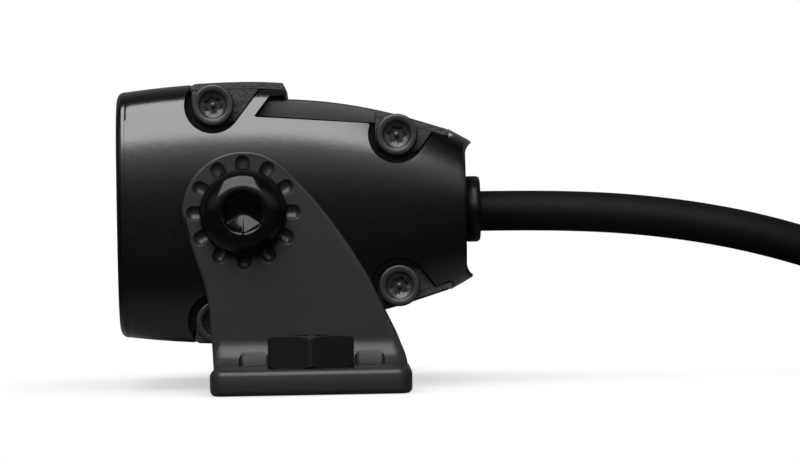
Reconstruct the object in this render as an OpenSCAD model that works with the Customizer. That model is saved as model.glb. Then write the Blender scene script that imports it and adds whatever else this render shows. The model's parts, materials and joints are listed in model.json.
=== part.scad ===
// Heavy-duty reversing camera: a tilting head clamped between two mirrored L-shaped brackets,
// with a short lead that lies coiled behind it and ends in a round screw-on connector.
// Units are millimetres. The origin lies on the mounting plane, midway between the feet and
// level with the mounting holes. The lens faces -Y, +Z is up, and the head tilts about X.

/* [Head] */
// Width of the head
head_w = 64; // [58:1:72]
// Half height of the head at its highest point
head_half_h = 22.2; // [21.4:0.2:24]
// Distance from the tilt axis to the front face
head_front = 21.4; // [21.4:0.2:24]
// Distance from the tilt axis to the tips of the rear rim
head_rear = 38.6; // [38:0.2:42]
// Half height of the front face
front_half_h = 20.7; // [20:0.1:21.2]
// Half height of the rear rim
tail_half_h = 11.5; // [11:0.1:13]
// Width of the head at the rear rim
tail_w = 59; // [56:1:64]
// Radius along the head's long edges
edge_r = 8; // [5:0.5:10]
// How far the rear face lies inside its rim
rear_recess = 1.3; // [0.8:0.1:2]

/* [Covers] */
// Width across the flat side faces of the covers
cover_w = 54; // [52:0.5:55]
// Thickness of the covers' side lugs
lug_t = 2.5; // [2:0.25:3]
// Thickness of the covers' plates
cover_t = 1.4; // [1.2:0.1:1.6]
// Depth of the step behind the covers' front strap
cover_step = 2.7; // [2:0.1:3]
// Distance from the front cover screws forward to the tilt axis
front_screw_y = 5; // [4:0.5:6]
// Height of the front cover screws above the tilt axis
front_screw_z = 18.2; // [17.5:0.1:18.6]
// Distance from the tilt axis back to the rear cover screws
rear_screw_y = 25.8; // [25:0.2:27]
// Height of the rear cover screws above the tilt axis
rear_screw_z = 12.7; // [12.2:0.1:13]
// Diameter of the cover screws' heads
cover_screw_head_d = 6.8; // [6:0.2:7]
// Diameter of the cover screws' threads
cover_screw_d = 4; // [3:0.5:4]
// Radius of the pockets round the cover screws
pocket_r = 4.8; // [4.4:0.1:5]

/* [Front] */
// Thickness of the bezel plate
bezel_t = 1.5; // [1.2:0.1:2]
// Width of the window in the bezel
window_w = 43; // [38:1:44]
// Height of the window in the bezel
window_h = 29; // [26:1:30]
// Thickness of the front glass
glass_t = 2; // [1.6:0.1:2.4]
// Thickness of the gasket behind the glass
gasket_t = 1; // [0.8:0.1:1.2]
// Width of the glass
glass_w = 47; // [46:0.5:48]
// Height of the glass
glass_h = 33; // [32:0.5:33.5]

/* [Electronics] */
// Width of the cavity in the housing
cavity_w = 41; // [39:1:42]
// Height of the cavity in the housing
cavity_h = 27; // [26:0.5:27.5]
// Thickness of the circuit boards
board_t = 1.6; // [1:0.2:2]
// Diameter of the lens barrel's hood
lens_d = 14; // [12:0.5:15]
// Number of infrared lamps round the lens
led_count = 10; // [6:1:11]
// Diameter of an infrared lamp
led_d = 4; // [3:0.5:4.5]

/* [Brackets] */
// Height of the tilt axis above the mounting plane
pivot_z = 29.6; // [29.6:0.2:34]
// Thickness of the brackets' upright arms
arm_t = 3; // [2.5:0.25:4]
// Radius of the arms' round tops
arm_head_r = 10; // [9.5:0.25:11]
// Thickness of the feet
foot_t = 4.15; // [3:0.05:5]
// Length of the feet, front to back
foot_l = 32.7; // [31:0.1:36]
// Width of a foot beyond its arm
foot_w = 22; // [20:0.5:26]
// Distance from the front edge of the feet back to the tilt axis
foot_front = 5.4; // [5:0.1:6]
// Radius of the fillet between an arm and its foot
fillet_r = 4.3; // [3:0.1:5]
// Distance from an arm's outer face to its weld nut's axis
nut_x = 12; // [11.6:0.1:13]
// Distance across the flats of a weld nut
nut_af = 14; // [13:0.5:14]
// Height of a weld nut
nut_h = 5.2; // [4:0.1:6.5]
// Distance between the two small screw holes of a foot
screw_hole_spacing = 19.2; // [18.8:0.2:20]
// Distance from an arm's outer face to the small screw holes
screw_hole_x = 4; // [3.6:0.1:4.4]
// Diameter of the small screw holes
screw_hole_d = 3.6; // [3.2:0.1:4]

/* [Pivot] */
// Diameter of the pivot bolts' threads
pivot_d = 8; // [7:0.5:8]
// Diameter of the pivot bolts' domed heads
pivot_head_d = 14.2; // [13:0.2:16]
// Thickness of the friction washers
washer_t = 1; // [0.8:0.1:2]
// Number of flutes round each arm's top
flute_count = 12; // [8:2:12]

/* [Lead] */
// Diameter of the lead
cable_d = 7; // [6:0.5:7]
// Diameter of the cable gland
gland_d = 11.5; // [11:0.1:13]
// Length of the cable gland behind the rear face
gland_l = 3.2; // [2.6:0.1:4]
// Radius of the coil at the middle of its turns
coil_r = 35; // [35:1:38]
// Diameter of the connector's coupling ring
plug_d = 16; // [15:0.5:18]

/* [Hidden] */
$fn = 48;
tiny = 0.01;
bite = 1;

// Small clearances: a running fit, a gap between faces that slide, and a gap round a cover.
run_gap = 0.08;
slide_gap = 0.1;
seat_gap = 0.05;
cover_gap = 0.2;

// The tilt axis, with the feet's centre at Y = 0.
pivot_y = foot_front - foot_l / 2;
head_half_w = head_w / 2;
tail_half_w = tail_w / 2;

// The bezel, glass and gasket, from the front face back.
bezel_back = -head_front + bezel_t;
glass_back = bezel_back + glass_t;
gasket_back = glass_back + gasket_t;
glass_corner_r = 6;
gasket_rim = 2.2;
bezel_edge_r = 1.2;
bezel_screw_d = 2.5;
bezel_screw_head_d = 4.4;
bezel_screw_l = 7;
bezel_screw_x = (glass_w / 2 + head_half_w) / 2 - 0.2;
bezel_screw_z = front_half_h - edge_r + 0.2;

// Faces of the head's flat lugs and of the pocket floors behind them.
lug_out = cover_w / 2;
lug_in = lug_out - lug_t;
lug_r = cover_screw_head_d / 2 + 0.25;
cover_screw_head_h = 2.8;
cover_screw_l = 9;
strap_front = -front_screw_y - lug_r - 0.1;
strap_back = 6.7;
strap_deep = cover_t + 0.4;
riser = 1.6;
cover_back = 34.6;
pocket_slope = 37;
band_front = 1.9;
band_foot_front = 16.1;
band_shoulder_z = 19.6;
band_foot_back = rear_screw_z + 1.8;

// The cavity: a front chamber for the boards and a smaller rear one for the leads.
cavity_back = 19;
rear_cavity_w = 30;
rear_cavity_h = 16;
rear_cavity_back = 31;
cavity_corner_r = 4;
rear_face = head_rear - rear_recess;

// Side bosses, threaded inserts and bolts on the tilt axis.
boss_d = 17.6;
boss_out = head_half_w + 1;
insert_d = 12;
insert_l = 9.5;
washer_out = boss_out + washer_t;
arm_in = washer_out + slide_gap;
arm_out = arm_in + arm_t;
bolt_seat = arm_out + slide_gap;
pivot_head_h = 4.5;
pivot_shank_l = 13.4;
socket_af = 6;
socket_depth = 2.9;
rim_r = 3.85;

// Boards, from the front back.
led_board_front = -13.6;
main_board_front = 7.4;
main_board_back = main_board_front + board_t;
board_gap = 0.5;
standoff_x = cavity_w / 2 - 4;
standoff_z = cavity_h / 2 - 3.2;
standoff_d = 4.5;
board_screw_d = 2.5;
led_ring_r = lens_d / 2 + led_d / 2 + 1.2;
led_l = 4;

// Feet, nuts and holes.
foot_corner_r = 2.4;
foot_out = arm_out + foot_w;
nut_axis_x = arm_out + nut_x;
nut_thread_r = 3.4;
nut_pass_r = 4.3;
spot_r = 3;
flute_r = 1.35;
flute_reach = arm_head_r - 0.45;
flute_depth = 0.75;

// Gland and lead.
gland_back = rear_face + gland_l;
gland_bore_d = cable_d + 1;
gland_thread_d = 10;
locknut_af = 12;
locknut_t = 2.5;
cable_sides = 10;
cable_r = cable_d / 2;
coil_x = 11;
coil_y = 160;
coil_lift = 0.6;

// Route of the lead's free stretch, from the gland to the start of the coil.
exit_y = pivot_y + gland_back;
exit_z = pivot_z - 0.4;
CABLE_POINTS = [
    [0, exit_y, exit_z],
    [0, 36, exit_z], [0, 44, 29], [0, 52, 28.6], [0, 60, 27.8], [0, 68, 26.6], [0, 76, 25],
    [-0.3, 84, 22.8], [-1.1, 92, 20.2], [-2.8, 100, 17.2], [-5.4, 108, 13.9],
    [-8.8, 116, 10.7], [-12.6, 124, 8], [-16.4, 132, 6], [-19.7, 140, 4.7],
    [-22.2, 148, 4.2], [-23.5, 154, coil_lift + cable_r],
    [coil_x - coil_r, coil_y, coil_lift + cable_r]
];
// Route of the end that leaves the top of the coil a sixth of a turn before its start, humps
// over the incoming stretch and comes down beside the coil to the connector.
plug_start = [-33, 175, plug_d / 2];
plug_turn = 3;
CABLE_END_POINTS = [
    [coil_x + coil_r * cos(300), coil_y + coil_r * sin(300), coil_lift + 3 * cable_r],
    [20.2, 125.7, 11.2], [11, 123.2, 11.8], [2.4, 122.7, 12.8], [-5.8, 124, 14],
    [-13.6, 127.4, 14.6], [-19.9, 132.2, 14], [-25.2, 138.3, 12.6], [-28.8, 145.5, 10.9],
    [-31, 153.4, 9.4], [-32, 161, 8.5], [-32.6, 168, 8.1], plug_start
];

// Connector pieces along its own axis.
boot_l = 9;
plug_body_d = 14;
plug_body_l = 20;
plug_ring_l = 14;
plug_wall = 1.6;
plug_insert_d = plug_body_d - 2 * plug_wall - 2 * seat_gap;
ring_overlap = 5;

// A flat shape drawn as (Y, Z), carried along +X from x.
module along_x(x, length) {
    translate([x, 0, 0]) rotate([90, 0, 90]) linear_extrude(length) children();
}

// A flat shape drawn as (X, Z), carried along +Y from y.
module along_y(y, length) {
    translate([0, y + length, 0]) rotate([90, 0, 0]) linear_extrude(length) children();
}

// A rod along +X from x, centred on the tilt axis.
module rod_x(x, length, diameter) {
    translate([x, 0, 0]) rotate([0, 90, 0]) cylinder(h = length, d = diameter);
}

// A rod along +Y from y, centred on the tilt axis.
module rod_y(y, length, diameter) {
    translate([0, y, 0]) rotate([-90, 0, 0]) cylinder(h = length, d = diameter);
}

// Places a piece of the head, whose own origin is on the tilt axis.
module at_pivot() {
    translate([0, pivot_y, pivot_z]) children();
}

// The piece and its mirror image on the other side.
module both_sides() {
    children();
    mirror([1, 0, 0]) children();
}

// The piece and its mirror image below the tilt axis.
module both_heights() {
    children();
    mirror([0, 0, 1]) children();
}

// A rectangle with round corners, centred on the origin.
module round_box(w, h, r) {
    square([w - 2 * r, h], center = true);
    square([w, h - 2 * r], center = true);
    for (sx = [-1, 1], sy = [-1, 1])
        translate([sx * (w / 2 - r), sy * (h / 2 - r)]) circle(r);
}

// Height of the head's skin above the tilt axis: one arc forward of the axis, one behind it.
front_arc_r = (pow(head_front, 2) + pow(head_half_h - front_half_h, 2)) / (2 * (head_half_h - front_half_h));
rear_arc_r = (pow(head_rear, 2) + pow(head_half_h - tail_half_h, 2)) / (2 * (head_half_h - tail_half_h));
function skin(y) = y < 0
    ? head_half_h - front_arc_r + sqrt(pow(front_arc_r, 2) - y * y)
    : head_half_h - rear_arc_r + sqrt(pow(rear_arc_r, 2) - y * y);

// Height of the covers' sunken field, which meets the skin again at its back edge.
function field(y) = skin(y) - cover_step * pow(max(0, cover_back - y) / (cover_back - strap_back), 0.6);

// Half width of the head: straight to the tilt axis, then narrowing to the rear rim.
function half_width(y) = y < 0
    ? head_half_w
    : head_half_w - (head_half_w - tail_half_w) * pow(y / head_rear, 2);

// The head seen from the side, from y0 to y1.
module side_outline(y0, y1, steps) {
    ys = [for (i = [0 : steps]) y0 + (y1 - y0) * i / steps];
    polygon(concat(
        [for (y = ys) [y, skin(y)]],
        [for (i = [0 : steps]) [ys[steps - i], -skin(ys[steps - i])]]
    ));
}

// The head seen from above, from y0 to y1.
module plan_outline(y0, y1, steps) {
    ys = [for (i = [0 : steps]) y0 + (y1 - y0) * i / steps];
    polygon(concat(
        [for (y = ys) [half_width(y), y]],
        [for (i = [0 : steps]) [-half_width(ys[steps - i]), ys[steps - i]]]
    ));
}

// Solid block of the head between two stations: side view, plan and front view together.
module head_block(y0, y1) {
    intersection() {
        along_x(-head_half_w - bite, head_w + 2 * bite) side_outline(y0, y1, 16);
        translate([0, 0, -head_half_h - bite])
            linear_extrude(2 * (head_half_h + bite)) plan_outline(y0, y1, 16);
        along_y(y0 - bite, y1 - y0 + 2 * bite) round_box(head_w, 2 * head_half_h, edge_r);
    }
}

// Outline of a pocket round a screw at (y, z): round below, upright in front, sloping behind.
module pocket_outline(y, z, r, slope, top) {
    reach = (top - z) * tan(slope) + r / cos(slope);
    translate([y, z]) {
        circle(r);
        polygon([[-r, 0], [r * cos(slope), -r * sin(slope)], [reach, top - z], [-r, top - z]]);
    }
}

// Side band between the pockets: an upright flat under a short shoulder of the skin, whose
// foot follows the head's taper.
module band_outline(grow) {
    lean = tan(pocket_slope);
    polygon([
        [band_front, band_foot_front - grow],
        [rear_screw_y - 2, band_foot_back - grow],
        [rear_screw_y - 2, head_half_h + bite],
        [strap_back + cover_gap, head_half_h + bite],
        [strap_back + cover_gap, band_shoulder_z],
        [band_front + (band_shoulder_z - band_foot_front) * lean, band_shoulder_z]
    ]);
}

// Field of a cover from y0 to y1, at height drop under its own top and t thick.
module field_plate(y0, y1, drop, t) {
    steps = 12;
    ys = [for (i = [0 : steps]) y0 + (y1 - y0) * i / steps];
    polygon(concat(
        [for (y = ys) [y, field(y) - drop]],
        [for (i = [0 : steps]) [ys[steps - i], field(ys[steps - i]) - drop - t]]
    ));
}

// A cover's plate seen from the side: a raised strap in front, a riser and the sunken field.
module cover_plate() {
    steps = 6;
    ys = [for (i = [0 : steps]) strap_front + (strap_back - strap_front) * i / steps];
    polygon(concat(
        [for (y = ys) [y, skin(y)]],
        [for (i = [0 : steps]) [ys[steps - i], skin(ys[steps - i]) - strap_deep]]
    ));
    translate([strap_back - riser, field(strap_back) - cover_t])
        square([riser, cover_step + cover_t - 0.2]);
    field_plate(strap_back, cover_back, 0, cover_t);
}

// Room that the housing leaves open for a cover, from the cover's seat upwards.
module cover_room() {
    top = head_half_h + bite;
    riser_front = strap_back - riser - cover_gap;
    translate([strap_front - cover_gap, skin(strap_front) - strap_deep - seat_gap])
        square([riser_front - strap_front + cover_gap + tiny, top]);
    steps = 12;
    ys = [for (i = [0 : steps]) strap_back + (cover_back + cover_gap - strap_back) * i / steps];
    polygon(concat(
        [[riser_front, top], [riser_front, field(strap_back) - cover_t - seat_gap]],
        [for (y = ys) [y, field(y) - cover_t - seat_gap]],
        [[cover_back + cover_gap, top]]
    ));
}

// Outline of a cover's side wall: the band between its two lugs.
module cover_band() {
    intersection() {
        band_outline(-cover_gap);
        union() {
            field_plate(strap_back, cover_back, 0, 6);
            translate([-2, 0]) square([strap_back + 2, field(strap_back)]);
        }
    }
}

// Outline of a lug round a screw at (y, z), up to the cover's plate.
module lug_outline(y, z, top) {
    wall_r = pocket_r - cover_gap;
    reach = (top - z) * tan(pocket_slope) + wall_r / cos(pocket_slope);
    translate([y, z]) {
        circle(lug_r);
        polygon([
            [-lug_r, 0], [0, -lug_r],
            [wall_r * cos(pocket_slope), -wall_r * sin(pocket_slope)],
            [reach, top - z], [-lug_r, top - z]
        ]);
    }
}

// Both lugs of a cover's side, kept below its own plate.
module cover_lugs() {
    intersection() {
        union() {
            lug_outline(-front_screw_y, front_screw_z, skin(0) - 0.2);
            lug_outline(rear_screw_y, rear_screw_z, field(rear_screw_y) + 0.2);
        }
        union() {
            side_outline(-head_front, strap_back, 8);
            field_plate(strap_back, cover_back, 0, 12);
        }
    }
}

// Each cover screw's place, on the +X side above the tilt axis.
module at_cover_screws() {
    for (p = [[-front_screw_y, front_screw_z], [rear_screw_y, rear_screw_z]])
        translate([0, p[0], p[1]]) children();
}

// Places a piece on all eight cover screws' axes.
module at_all_cover_screws() {
    both_heights() both_sides() at_cover_screws() children();
}

// Places a piece at the four posts that carry the boards.
module at_posts() {
    for (sx = [-1, 1], sz = [-1, 1])
        translate([sx * standoff_x, 0, sz * standoff_z]) children();
}

// Places a piece at the four bezel screws.
module at_bezel_screws() {
    for (sx = [-1, 1], sz = [-1, 1])
        translate([sx * bezel_screw_x, 0, sz * bezel_screw_z]) children();
}

// Rear face of the head, sunk between its upper and lower lips, which curve outwards.
module rear_face_cut() {
    lip_r = 2.6;
    lip_z = tail_half_h - 2.5;
    along_x(-head_half_w - bite, head_w + 2 * bite) {
        translate([rear_face, -lip_z]) square([rear_recess + bite, 2 * lip_z]);
        for (sz = [-1, 1]) translate([rear_face + lip_r, sz * lip_z]) circle(lip_r);
    }
}

// The hollow of the housing, with the boards' four bosses left standing in it.
module cavity() {
    difference() {
        along_y(gasket_back - tiny, cavity_back - gasket_back)
            round_box(cavity_w, cavity_h, cavity_corner_r);
        at_posts() rod_y(main_board_back, cavity_back, standoff_d + 0.5);
    }
    along_y(cavity_back - bite, rear_cavity_back - cavity_back + bite)
        round_box(rear_cavity_w, rear_cavity_h, cavity_corner_r);
    along_y(bezel_back - tiny, gasket_back - bezel_back + tiny)
        round_box(glass_w + 2 * seat_gap, glass_h + 2 * seat_gap, glass_corner_r);
}

// Main casting of the head: one hollow body with pockets, bands and bosses on its sides.
module housing() {
    color([0.1, 0.1, 0.11]) at_pivot() difference() {
        union() {
            head_block(bezel_back, head_rear);
            both_sides() rod_x(head_half_w - 4, boss_out - head_half_w + 4, boss_d);
        }
        rear_face_cut();
        cavity();
        both_heights() along_x(-lug_out - cover_gap, cover_w + 2 * cover_gap) cover_room();
        both_heights() both_sides() along_x(lug_in - seat_gap, head_half_w) {
            pocket_outline(-front_screw_y, front_screw_z, pocket_r, pocket_slope, head_half_h + bite);
            pocket_outline(rear_screw_y, rear_screw_z, pocket_r, pocket_slope, head_half_h);
            band_outline(0);
        }
        at_all_cover_screws()
            rod_x(lug_out - cover_screw_l - seat_gap, head_half_w, cover_screw_d + 2 * seat_gap);
        both_sides() rod_x(boss_out - insert_l, insert_l + bite, insert_d);
        rod_y(cavity_back, head_rear, gland_thread_d + 2 * seat_gap);
        at_bezel_screws() rod_y(bezel_back - bite, bezel_screw_l + bite, bezel_screw_d + 2 * seat_gap);
        at_posts() rod_y(cavity_back - 12, 9, board_screw_d + 2 * seat_gap);
    }
}

// One of the two textured guard plates that close over the head, with its four side lugs.
module cover() {
    difference() {
        union() {
            along_x(-lug_out, cover_w) cover_plate();
            both_sides() along_x(lug_in, lug_t) {
                cover_lugs();
                cover_band();
            }
        }
        both_sides() at_cover_screws() rod_x(lug_in - bite, lug_t + 2 * bite, cover_screw_d + 0.4);
    }
}

// Upper guard plate.
module top_cover() {
    color([0.2, 0.2, 0.21]) at_pivot() cover();
}

// Lower guard plate.
module bottom_cover() {
    color([0.2, 0.2, 0.21]) at_pivot() mirror([0, 0, 1]) cover();
}

// Eight tamper-proof screws that hold the covers' lugs, each with a pin in its socket.
module cover_screws() {
    socket_d = 3.4;
    socket_h = 1.6;
    pin_d = 0.9;
    color([0.16, 0.16, 0.17]) at_pivot() at_all_cover_screws() {
        difference() {
            rod_x(lug_out, cover_screw_head_h, cover_screw_head_d);
            translate([lug_out + cover_screw_head_h - socket_h, 0, 0]) rotate([0, 90, 0])
                cylinder(h = socket_h + bite, d = socket_d, $fn = 6);
        }
        rod_x(lug_out + cover_screw_head_h - socket_h - tiny, socket_h - 0.2, pin_d);
        rod_x(lug_out - cover_screw_l, cover_screw_l, cover_screw_d);
    }
}

// Frame round the window, chamfered along its outer edge.
module front_bezel() {
    color([0.1, 0.1, 0.11]) at_pivot() difference() {
        hull() {
            along_y(bezel_back - tiny, tiny) round_box(head_w, 2 * front_half_h, edge_r, $fn = 32);
            along_y(-head_front + bezel_edge_r / 2, tiny)
                round_box(head_w - 0.4, 2 * front_half_h - 0.4, edge_r, $fn = 32);
            along_y(-head_front, tiny)
                round_box(head_w - 1.6, 2 * front_half_h - 1.6, edge_r - 0.6, $fn = 32);
        }
        along_y(-head_front - bite, bezel_t + 2 * bite) round_box(window_w, window_h, glass_corner_r - 1);
        at_bezel_screws() {
            rod_y(-head_front - bite, bezel_t + 2 * bite, bezel_screw_d + 0.2);
            rod_y(-head_front - bite, bite + bezel_screw_d / 2, bezel_screw_head_d + 0.2);
        }
    }
}

// Four flat-topped screws in the bezel's corners.
module bezel_screws() {
    head_l = 1.05;
    color([0.5, 0.5, 0.52]) at_pivot() at_bezel_screws() difference() {
        union() {
            rod_y(-head_front + 0.15, head_l, bezel_screw_head_d);
            rod_y(-head_front + 0.15, bezel_screw_l, bezel_screw_d);
        }
        translate([0, -head_front - bite, 0]) rotate([-90, 0, 0])
            cylinder(h = bite + 0.85, d = 1.8, $fn = 6);
    }
}

// Flat window in front of the lens and the lamps.
module front_glass() {
    color([0.3, 0.33, 0.36, 0.5]) at_pivot() along_y(bezel_back, glass_t)
        round_box(glass_w, glass_h, glass_corner_r);
}

// Rubber ring that seals the glass against the housing.
module glass_gasket() {
    color([0.05, 0.05, 0.05]) at_pivot() along_y(glass_back, gasket_t) difference() {
        round_box(glass_w, glass_h, glass_corner_r);
        round_box(glass_w - 2 * gasket_rim, glass_h - 2 * gasket_rim, glass_corner_r - 1);
    }
}

// Outline of a circuit board, with its four post holes.
module board_outline() {
    difference() {
        round_box(cavity_w - 2 * board_gap, cavity_h - 2 * board_gap, cavity_corner_r - board_gap);
        for (sx = [-1, 1], sz = [-1, 1])
            translate([sx * standoff_x, sz * standoff_z]) circle(d = board_screw_d + 2 * seat_gap);
    }
}

// Board that carries the infrared lamps round the lens.
module led_board() {
    color([0.06, 0.12, 0.08]) at_pivot() along_y(led_board_front, board_t) difference() {
        board_outline();
        circle(d = lens_d + 0.6);
    }
}

// Ring of infrared lamps, each a short barrel with a round top.
module infrared_lamps() {
    color([0.75, 0.76, 0.8]) at_pivot()
        for (i = [0 : led_count - 1]) rotate([0, (i + 0.5) * 360 / led_count, 0])
            translate([0, led_board_front, led_ring_r]) intersection() {
                rod_y(-led_l, led_l, led_d);
                translate([0, led_d / 2 - led_l, 0]) union() {
                    sphere(d = led_d);
                    rod_y(0, led_l, led_d);
                }
            }
}

// Small light sensor that turns the lamps on in the dark, between their ring and the board's edge.
module light_sensor() {
    sensor_d = 3;
    board_edge = cavity_w / 2 - board_gap;
    sensor_x = (led_ring_r + led_d / 2 + board_edge - 0.2) / 2;
    color([0.6, 0.5, 0.3]) at_pivot() translate([sensor_x, 0, 0])
        rod_y(led_board_front - 1.6, 1.6, sensor_d);
}

// Threaded barrel that carries the lens elements.
hood_front = led_board_front - 3;
hood_back = led_board_front + board_t + 2;
barrel_d = 12;
barrel_back = main_board_front - 3;
lens_bore_d = 9.6;
hood_bore_d = 11.6;
module lens_barrel() {
    color([0.08, 0.08, 0.08]) at_pivot() difference() {
        union() {
            rod_y(hood_front, hood_back - hood_front, lens_d);
            rod_y(hood_back - tiny, barrel_back - hood_back, barrel_d - 2 * seat_gap);
        }
        rod_y(hood_front - bite, barrel_back - hood_front + 2 * bite, lens_bore_d);
        rod_y(hood_front - bite, bite + 3.4, hood_bore_d);
    }
}

// Three glass elements seated in the barrel.
module lens_elements() {
    front_r = 8;
    seat = hood_front + 3.4;
    rear_seat = barrel_back - 4;
    color([0.45, 0.5, 0.62, 0.6]) at_pivot() {
        intersection() {
            rod_y(seat - 2.8, 2.8, hood_bore_d - 2 * seat_gap);
            translate([0, seat - 2.5 + front_r, 0]) sphere(front_r, $fn = 64);
        }
        rod_y(seat + 3, 1.8, lens_bore_d - 2 * seat_gap);
        rod_y(rear_seat, 2.4, lens_bore_d - 2 * seat_gap);
    }
}

// Square-footed holder that screws onto the barrel and covers the image sensor.
module lens_holder() {
    holder_foot = 16;
    foot_h = 4;
    color([0.07, 0.07, 0.07]) at_pivot() difference() {
        union() {
            along_y(main_board_front - foot_h, foot_h) round_box(holder_foot, holder_foot, 1.5);
            rod_y(hood_back + 2, main_board_front - hood_back - 2 - tiny, barrel_d + 3);
        }
        rod_y(hood_back, main_board_front - hood_back + bite, barrel_d);
    }
}

// Image sensor chip behind the lens.
module image_sensor() {
    color([0.2, 0.25, 0.4]) at_pivot() along_y(main_board_front - 1.2, 1.2) square([7, 6], center = true);
}

// Main circuit board.
module main_board() {
    color([0.06, 0.2, 0.1]) at_pivot() along_y(main_board_front, board_t) board_outline();
}

// Chips on the back of the main board.
module board_chips() {
    chip_h = 1.2;
    color([0.05, 0.05, 0.05]) at_pivot() along_y(main_board_back, chip_h) {
        translate([-14, -2]) square([6, 6]);
        translate([8, -3]) square([7, 7]);
        translate([-4, 7]) square([8, 4]);
        translate([-5, -11]) square([4, 3]);
        translate([2, -11]) square([5, 3]);
    }
}

// Tubes that hold the two boards apart.
module board_standoffs() {
    gap = main_board_front - led_board_front - board_t;
    color([0.7, 0.6, 0.35]) at_pivot() at_posts() difference() {
        rod_y(led_board_front + board_t, gap, standoff_d);
        rod_y(led_board_front, gap + 2 * board_t, board_screw_d + 2 * seat_gap);
    }
}

// Long screws through both boards into the housing's bosses.
module board_screws() {
    color([0.6, 0.6, 0.62]) at_pivot() at_posts() {
        rod_y(led_board_front - 1.6, 1.6, standoff_d);
        rod_y(led_board_front - tiny, cavity_back - 4 - led_board_front, board_screw_d);
    }
}

// Socket on the main board that the inner leads plug into.
socket_back = main_board_back + 5;
module board_socket() {
    color([0.85, 0.85, 0.8]) at_pivot() along_y(main_board_back, socket_back - main_board_back)
        square([10, 5], center = true);
}

// Four insulated leads from the board's socket to the gland.
seal_front = rear_cavity_back - 3.4;
module inner_leads() {
    lead_d = 1.5;
    color([0.6, 0.1, 0.1]) at_pivot() for (sx = [-1, 1], sz = [-1, 1])
        translate([sx * 1.1, 0, sz * 1.1]) rod_y(socket_back, seal_front - socket_back, lead_d);
}

// Gland that the lead comes out of: a round collar outside and a threaded neck inside.
module gland_body() {
    collar_edge = 0.7;
    color([0.08, 0.08, 0.085]) at_pivot() rotate([-90, 0, 0]) difference() {
        union() {
            translate([0, 0, seal_front]) cylinder(h = gland_back - seal_front, d = gland_thread_d);
            rotate_extrude() polygon([
                [0, rear_face], [gland_d / 2, rear_face], [gland_d / 2, gland_back - collar_edge],
                [gland_d / 2 - collar_edge * 0.3, gland_back - collar_edge * 0.3],
                [gland_d / 2 - collar_edge, gland_back], [0, gland_back]
            ]);
        }
        translate([0, 0, seal_front - bite])
            cylinder(h = gland_back - seal_front + 2 * bite, d = gland_bore_d);
    }
}

// Nut that clamps the gland from inside the housing.
module gland_locknut() {
    color([0.6, 0.6, 0.62]) at_pivot() rotate([-90, 0, 0])
        translate([0, 0, rear_cavity_back - locknut_t]) difference() {
            cylinder(h = locknut_t, d = locknut_af / cos(30), $fn = 6);
            translate([0, 0, -bite]) cylinder(h = locknut_t + 2 * bite, d = gland_thread_d + 2 * seat_gap);
        }
}

// Rubber plug that seals the leads inside the gland.
module gland_seal() {
    color([0.04, 0.04, 0.04]) at_pivot()
        rod_y(seal_front, gland_back - seal_front, gland_bore_d - 2 * seat_gap);
}

// Steel bushes cast into the housing's sides, which take the pivot bolts' threads.
module pivot_inserts() {
    color([0.65, 0.65, 0.68]) at_pivot() both_sides() difference() {
        rod_x(boss_out - insert_l, insert_l, insert_d);
        rod_x(boss_out - insert_l - bite, insert_l + 2 * bite, pivot_d);
    }
}

// Domed bolts with hex sockets, on which the head tilts and which clamp it.
module pivot_bolts() {
    edge_h = 0.9;
    base_r = pivot_head_d / 2;
    rise = pivot_head_h - edge_h;
    run = base_r - rim_r;
    steps = 6;
    dome = [for (i = [0 : steps]) let (a = 90 * i / steps)
        [rim_r + run * cos(a), edge_h + rise * sin(a)]];
    color([0.05, 0.05, 0.055]) at_pivot() both_sides() {
        difference() {
            translate([bolt_seat, 0, 0]) rotate([0, 90, 0])
                rotate_extrude() polygon(concat([[0, 0], [base_r, 0]], dome, [[0, pivot_head_h]]));
            translate([bolt_seat + pivot_head_h - socket_depth, 0, 0]) rotate([0, 90, 0])
                cylinder(h = socket_depth + bite, d = socket_af / cos(30), $fn = 6);
        }
        rod_x(bolt_seat - pivot_shank_l, pivot_shank_l + tiny, pivot_d - 2 * seat_gap);
    }
}

// Washers between the housing's bosses and the arms.
module friction_washers() {
    color([0.75, 0.74, 0.7]) at_pivot() both_sides() difference() {
        rod_x(boss_out, washer_t, boss_d);
        rod_x(boss_out - bite, washer_t + 2 * bite, pivot_d + 2 * seat_gap);
    }
}

// Arm seen from the side, from the tilt axis: a round top on a leg that widens to the foot.
module arm_outline() {
    back = foot_l - foot_front;
    circle(arm_head_r);
    polygon([
        [arm_head_r * cos(40), arm_head_r * sin(40)], [11.7, 2.3], [14.8, -1.7], [18, -6.5],
        [20.8, -11.2], [23, -16.3], [back - 0.4, foot_t + 1 - pivot_z], [back - 0.4, -pivot_z],
        [-foot_front, -pivot_z], [-foot_front, foot_t + 1 - pivot_z], [-5.8, -19], [-6.1, -15],
        [-6.8, -11.6], [-7.5, -9.4], [-8.5, -6.6], [-9.5, -3.1], [-arm_head_r, 0]
    ]);
}

// Foot seen from above, with round outer corners.
module foot_outline() {
    y0 = pivot_y - foot_front;
    translate([arm_in, y0]) square([foot_out - arm_in - foot_corner_r, foot_l]);
    translate([arm_in, y0 + foot_corner_r]) square([foot_out - arm_in, foot_l - 2 * foot_corner_r]);
    for (y = [y0 + foot_corner_r, y0 + foot_l - foot_corner_r])
        translate([foot_out - foot_corner_r, y]) circle(foot_corner_r);
}

// Concave fillet in the corner between the arm and the foot.
module bracket_fillet() {
    intersection() {
        along_y(pivot_y - foot_front, foot_l) difference() {
            translate([arm_out - tiny, foot_t - tiny]) square(fillet_r);
            translate([arm_out + fillet_r, foot_t + fillet_r]) circle(fillet_r);
        }
        at_pivot() along_x(arm_in, fillet_r + arm_t + bite) arm_outline();
    }
}

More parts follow.
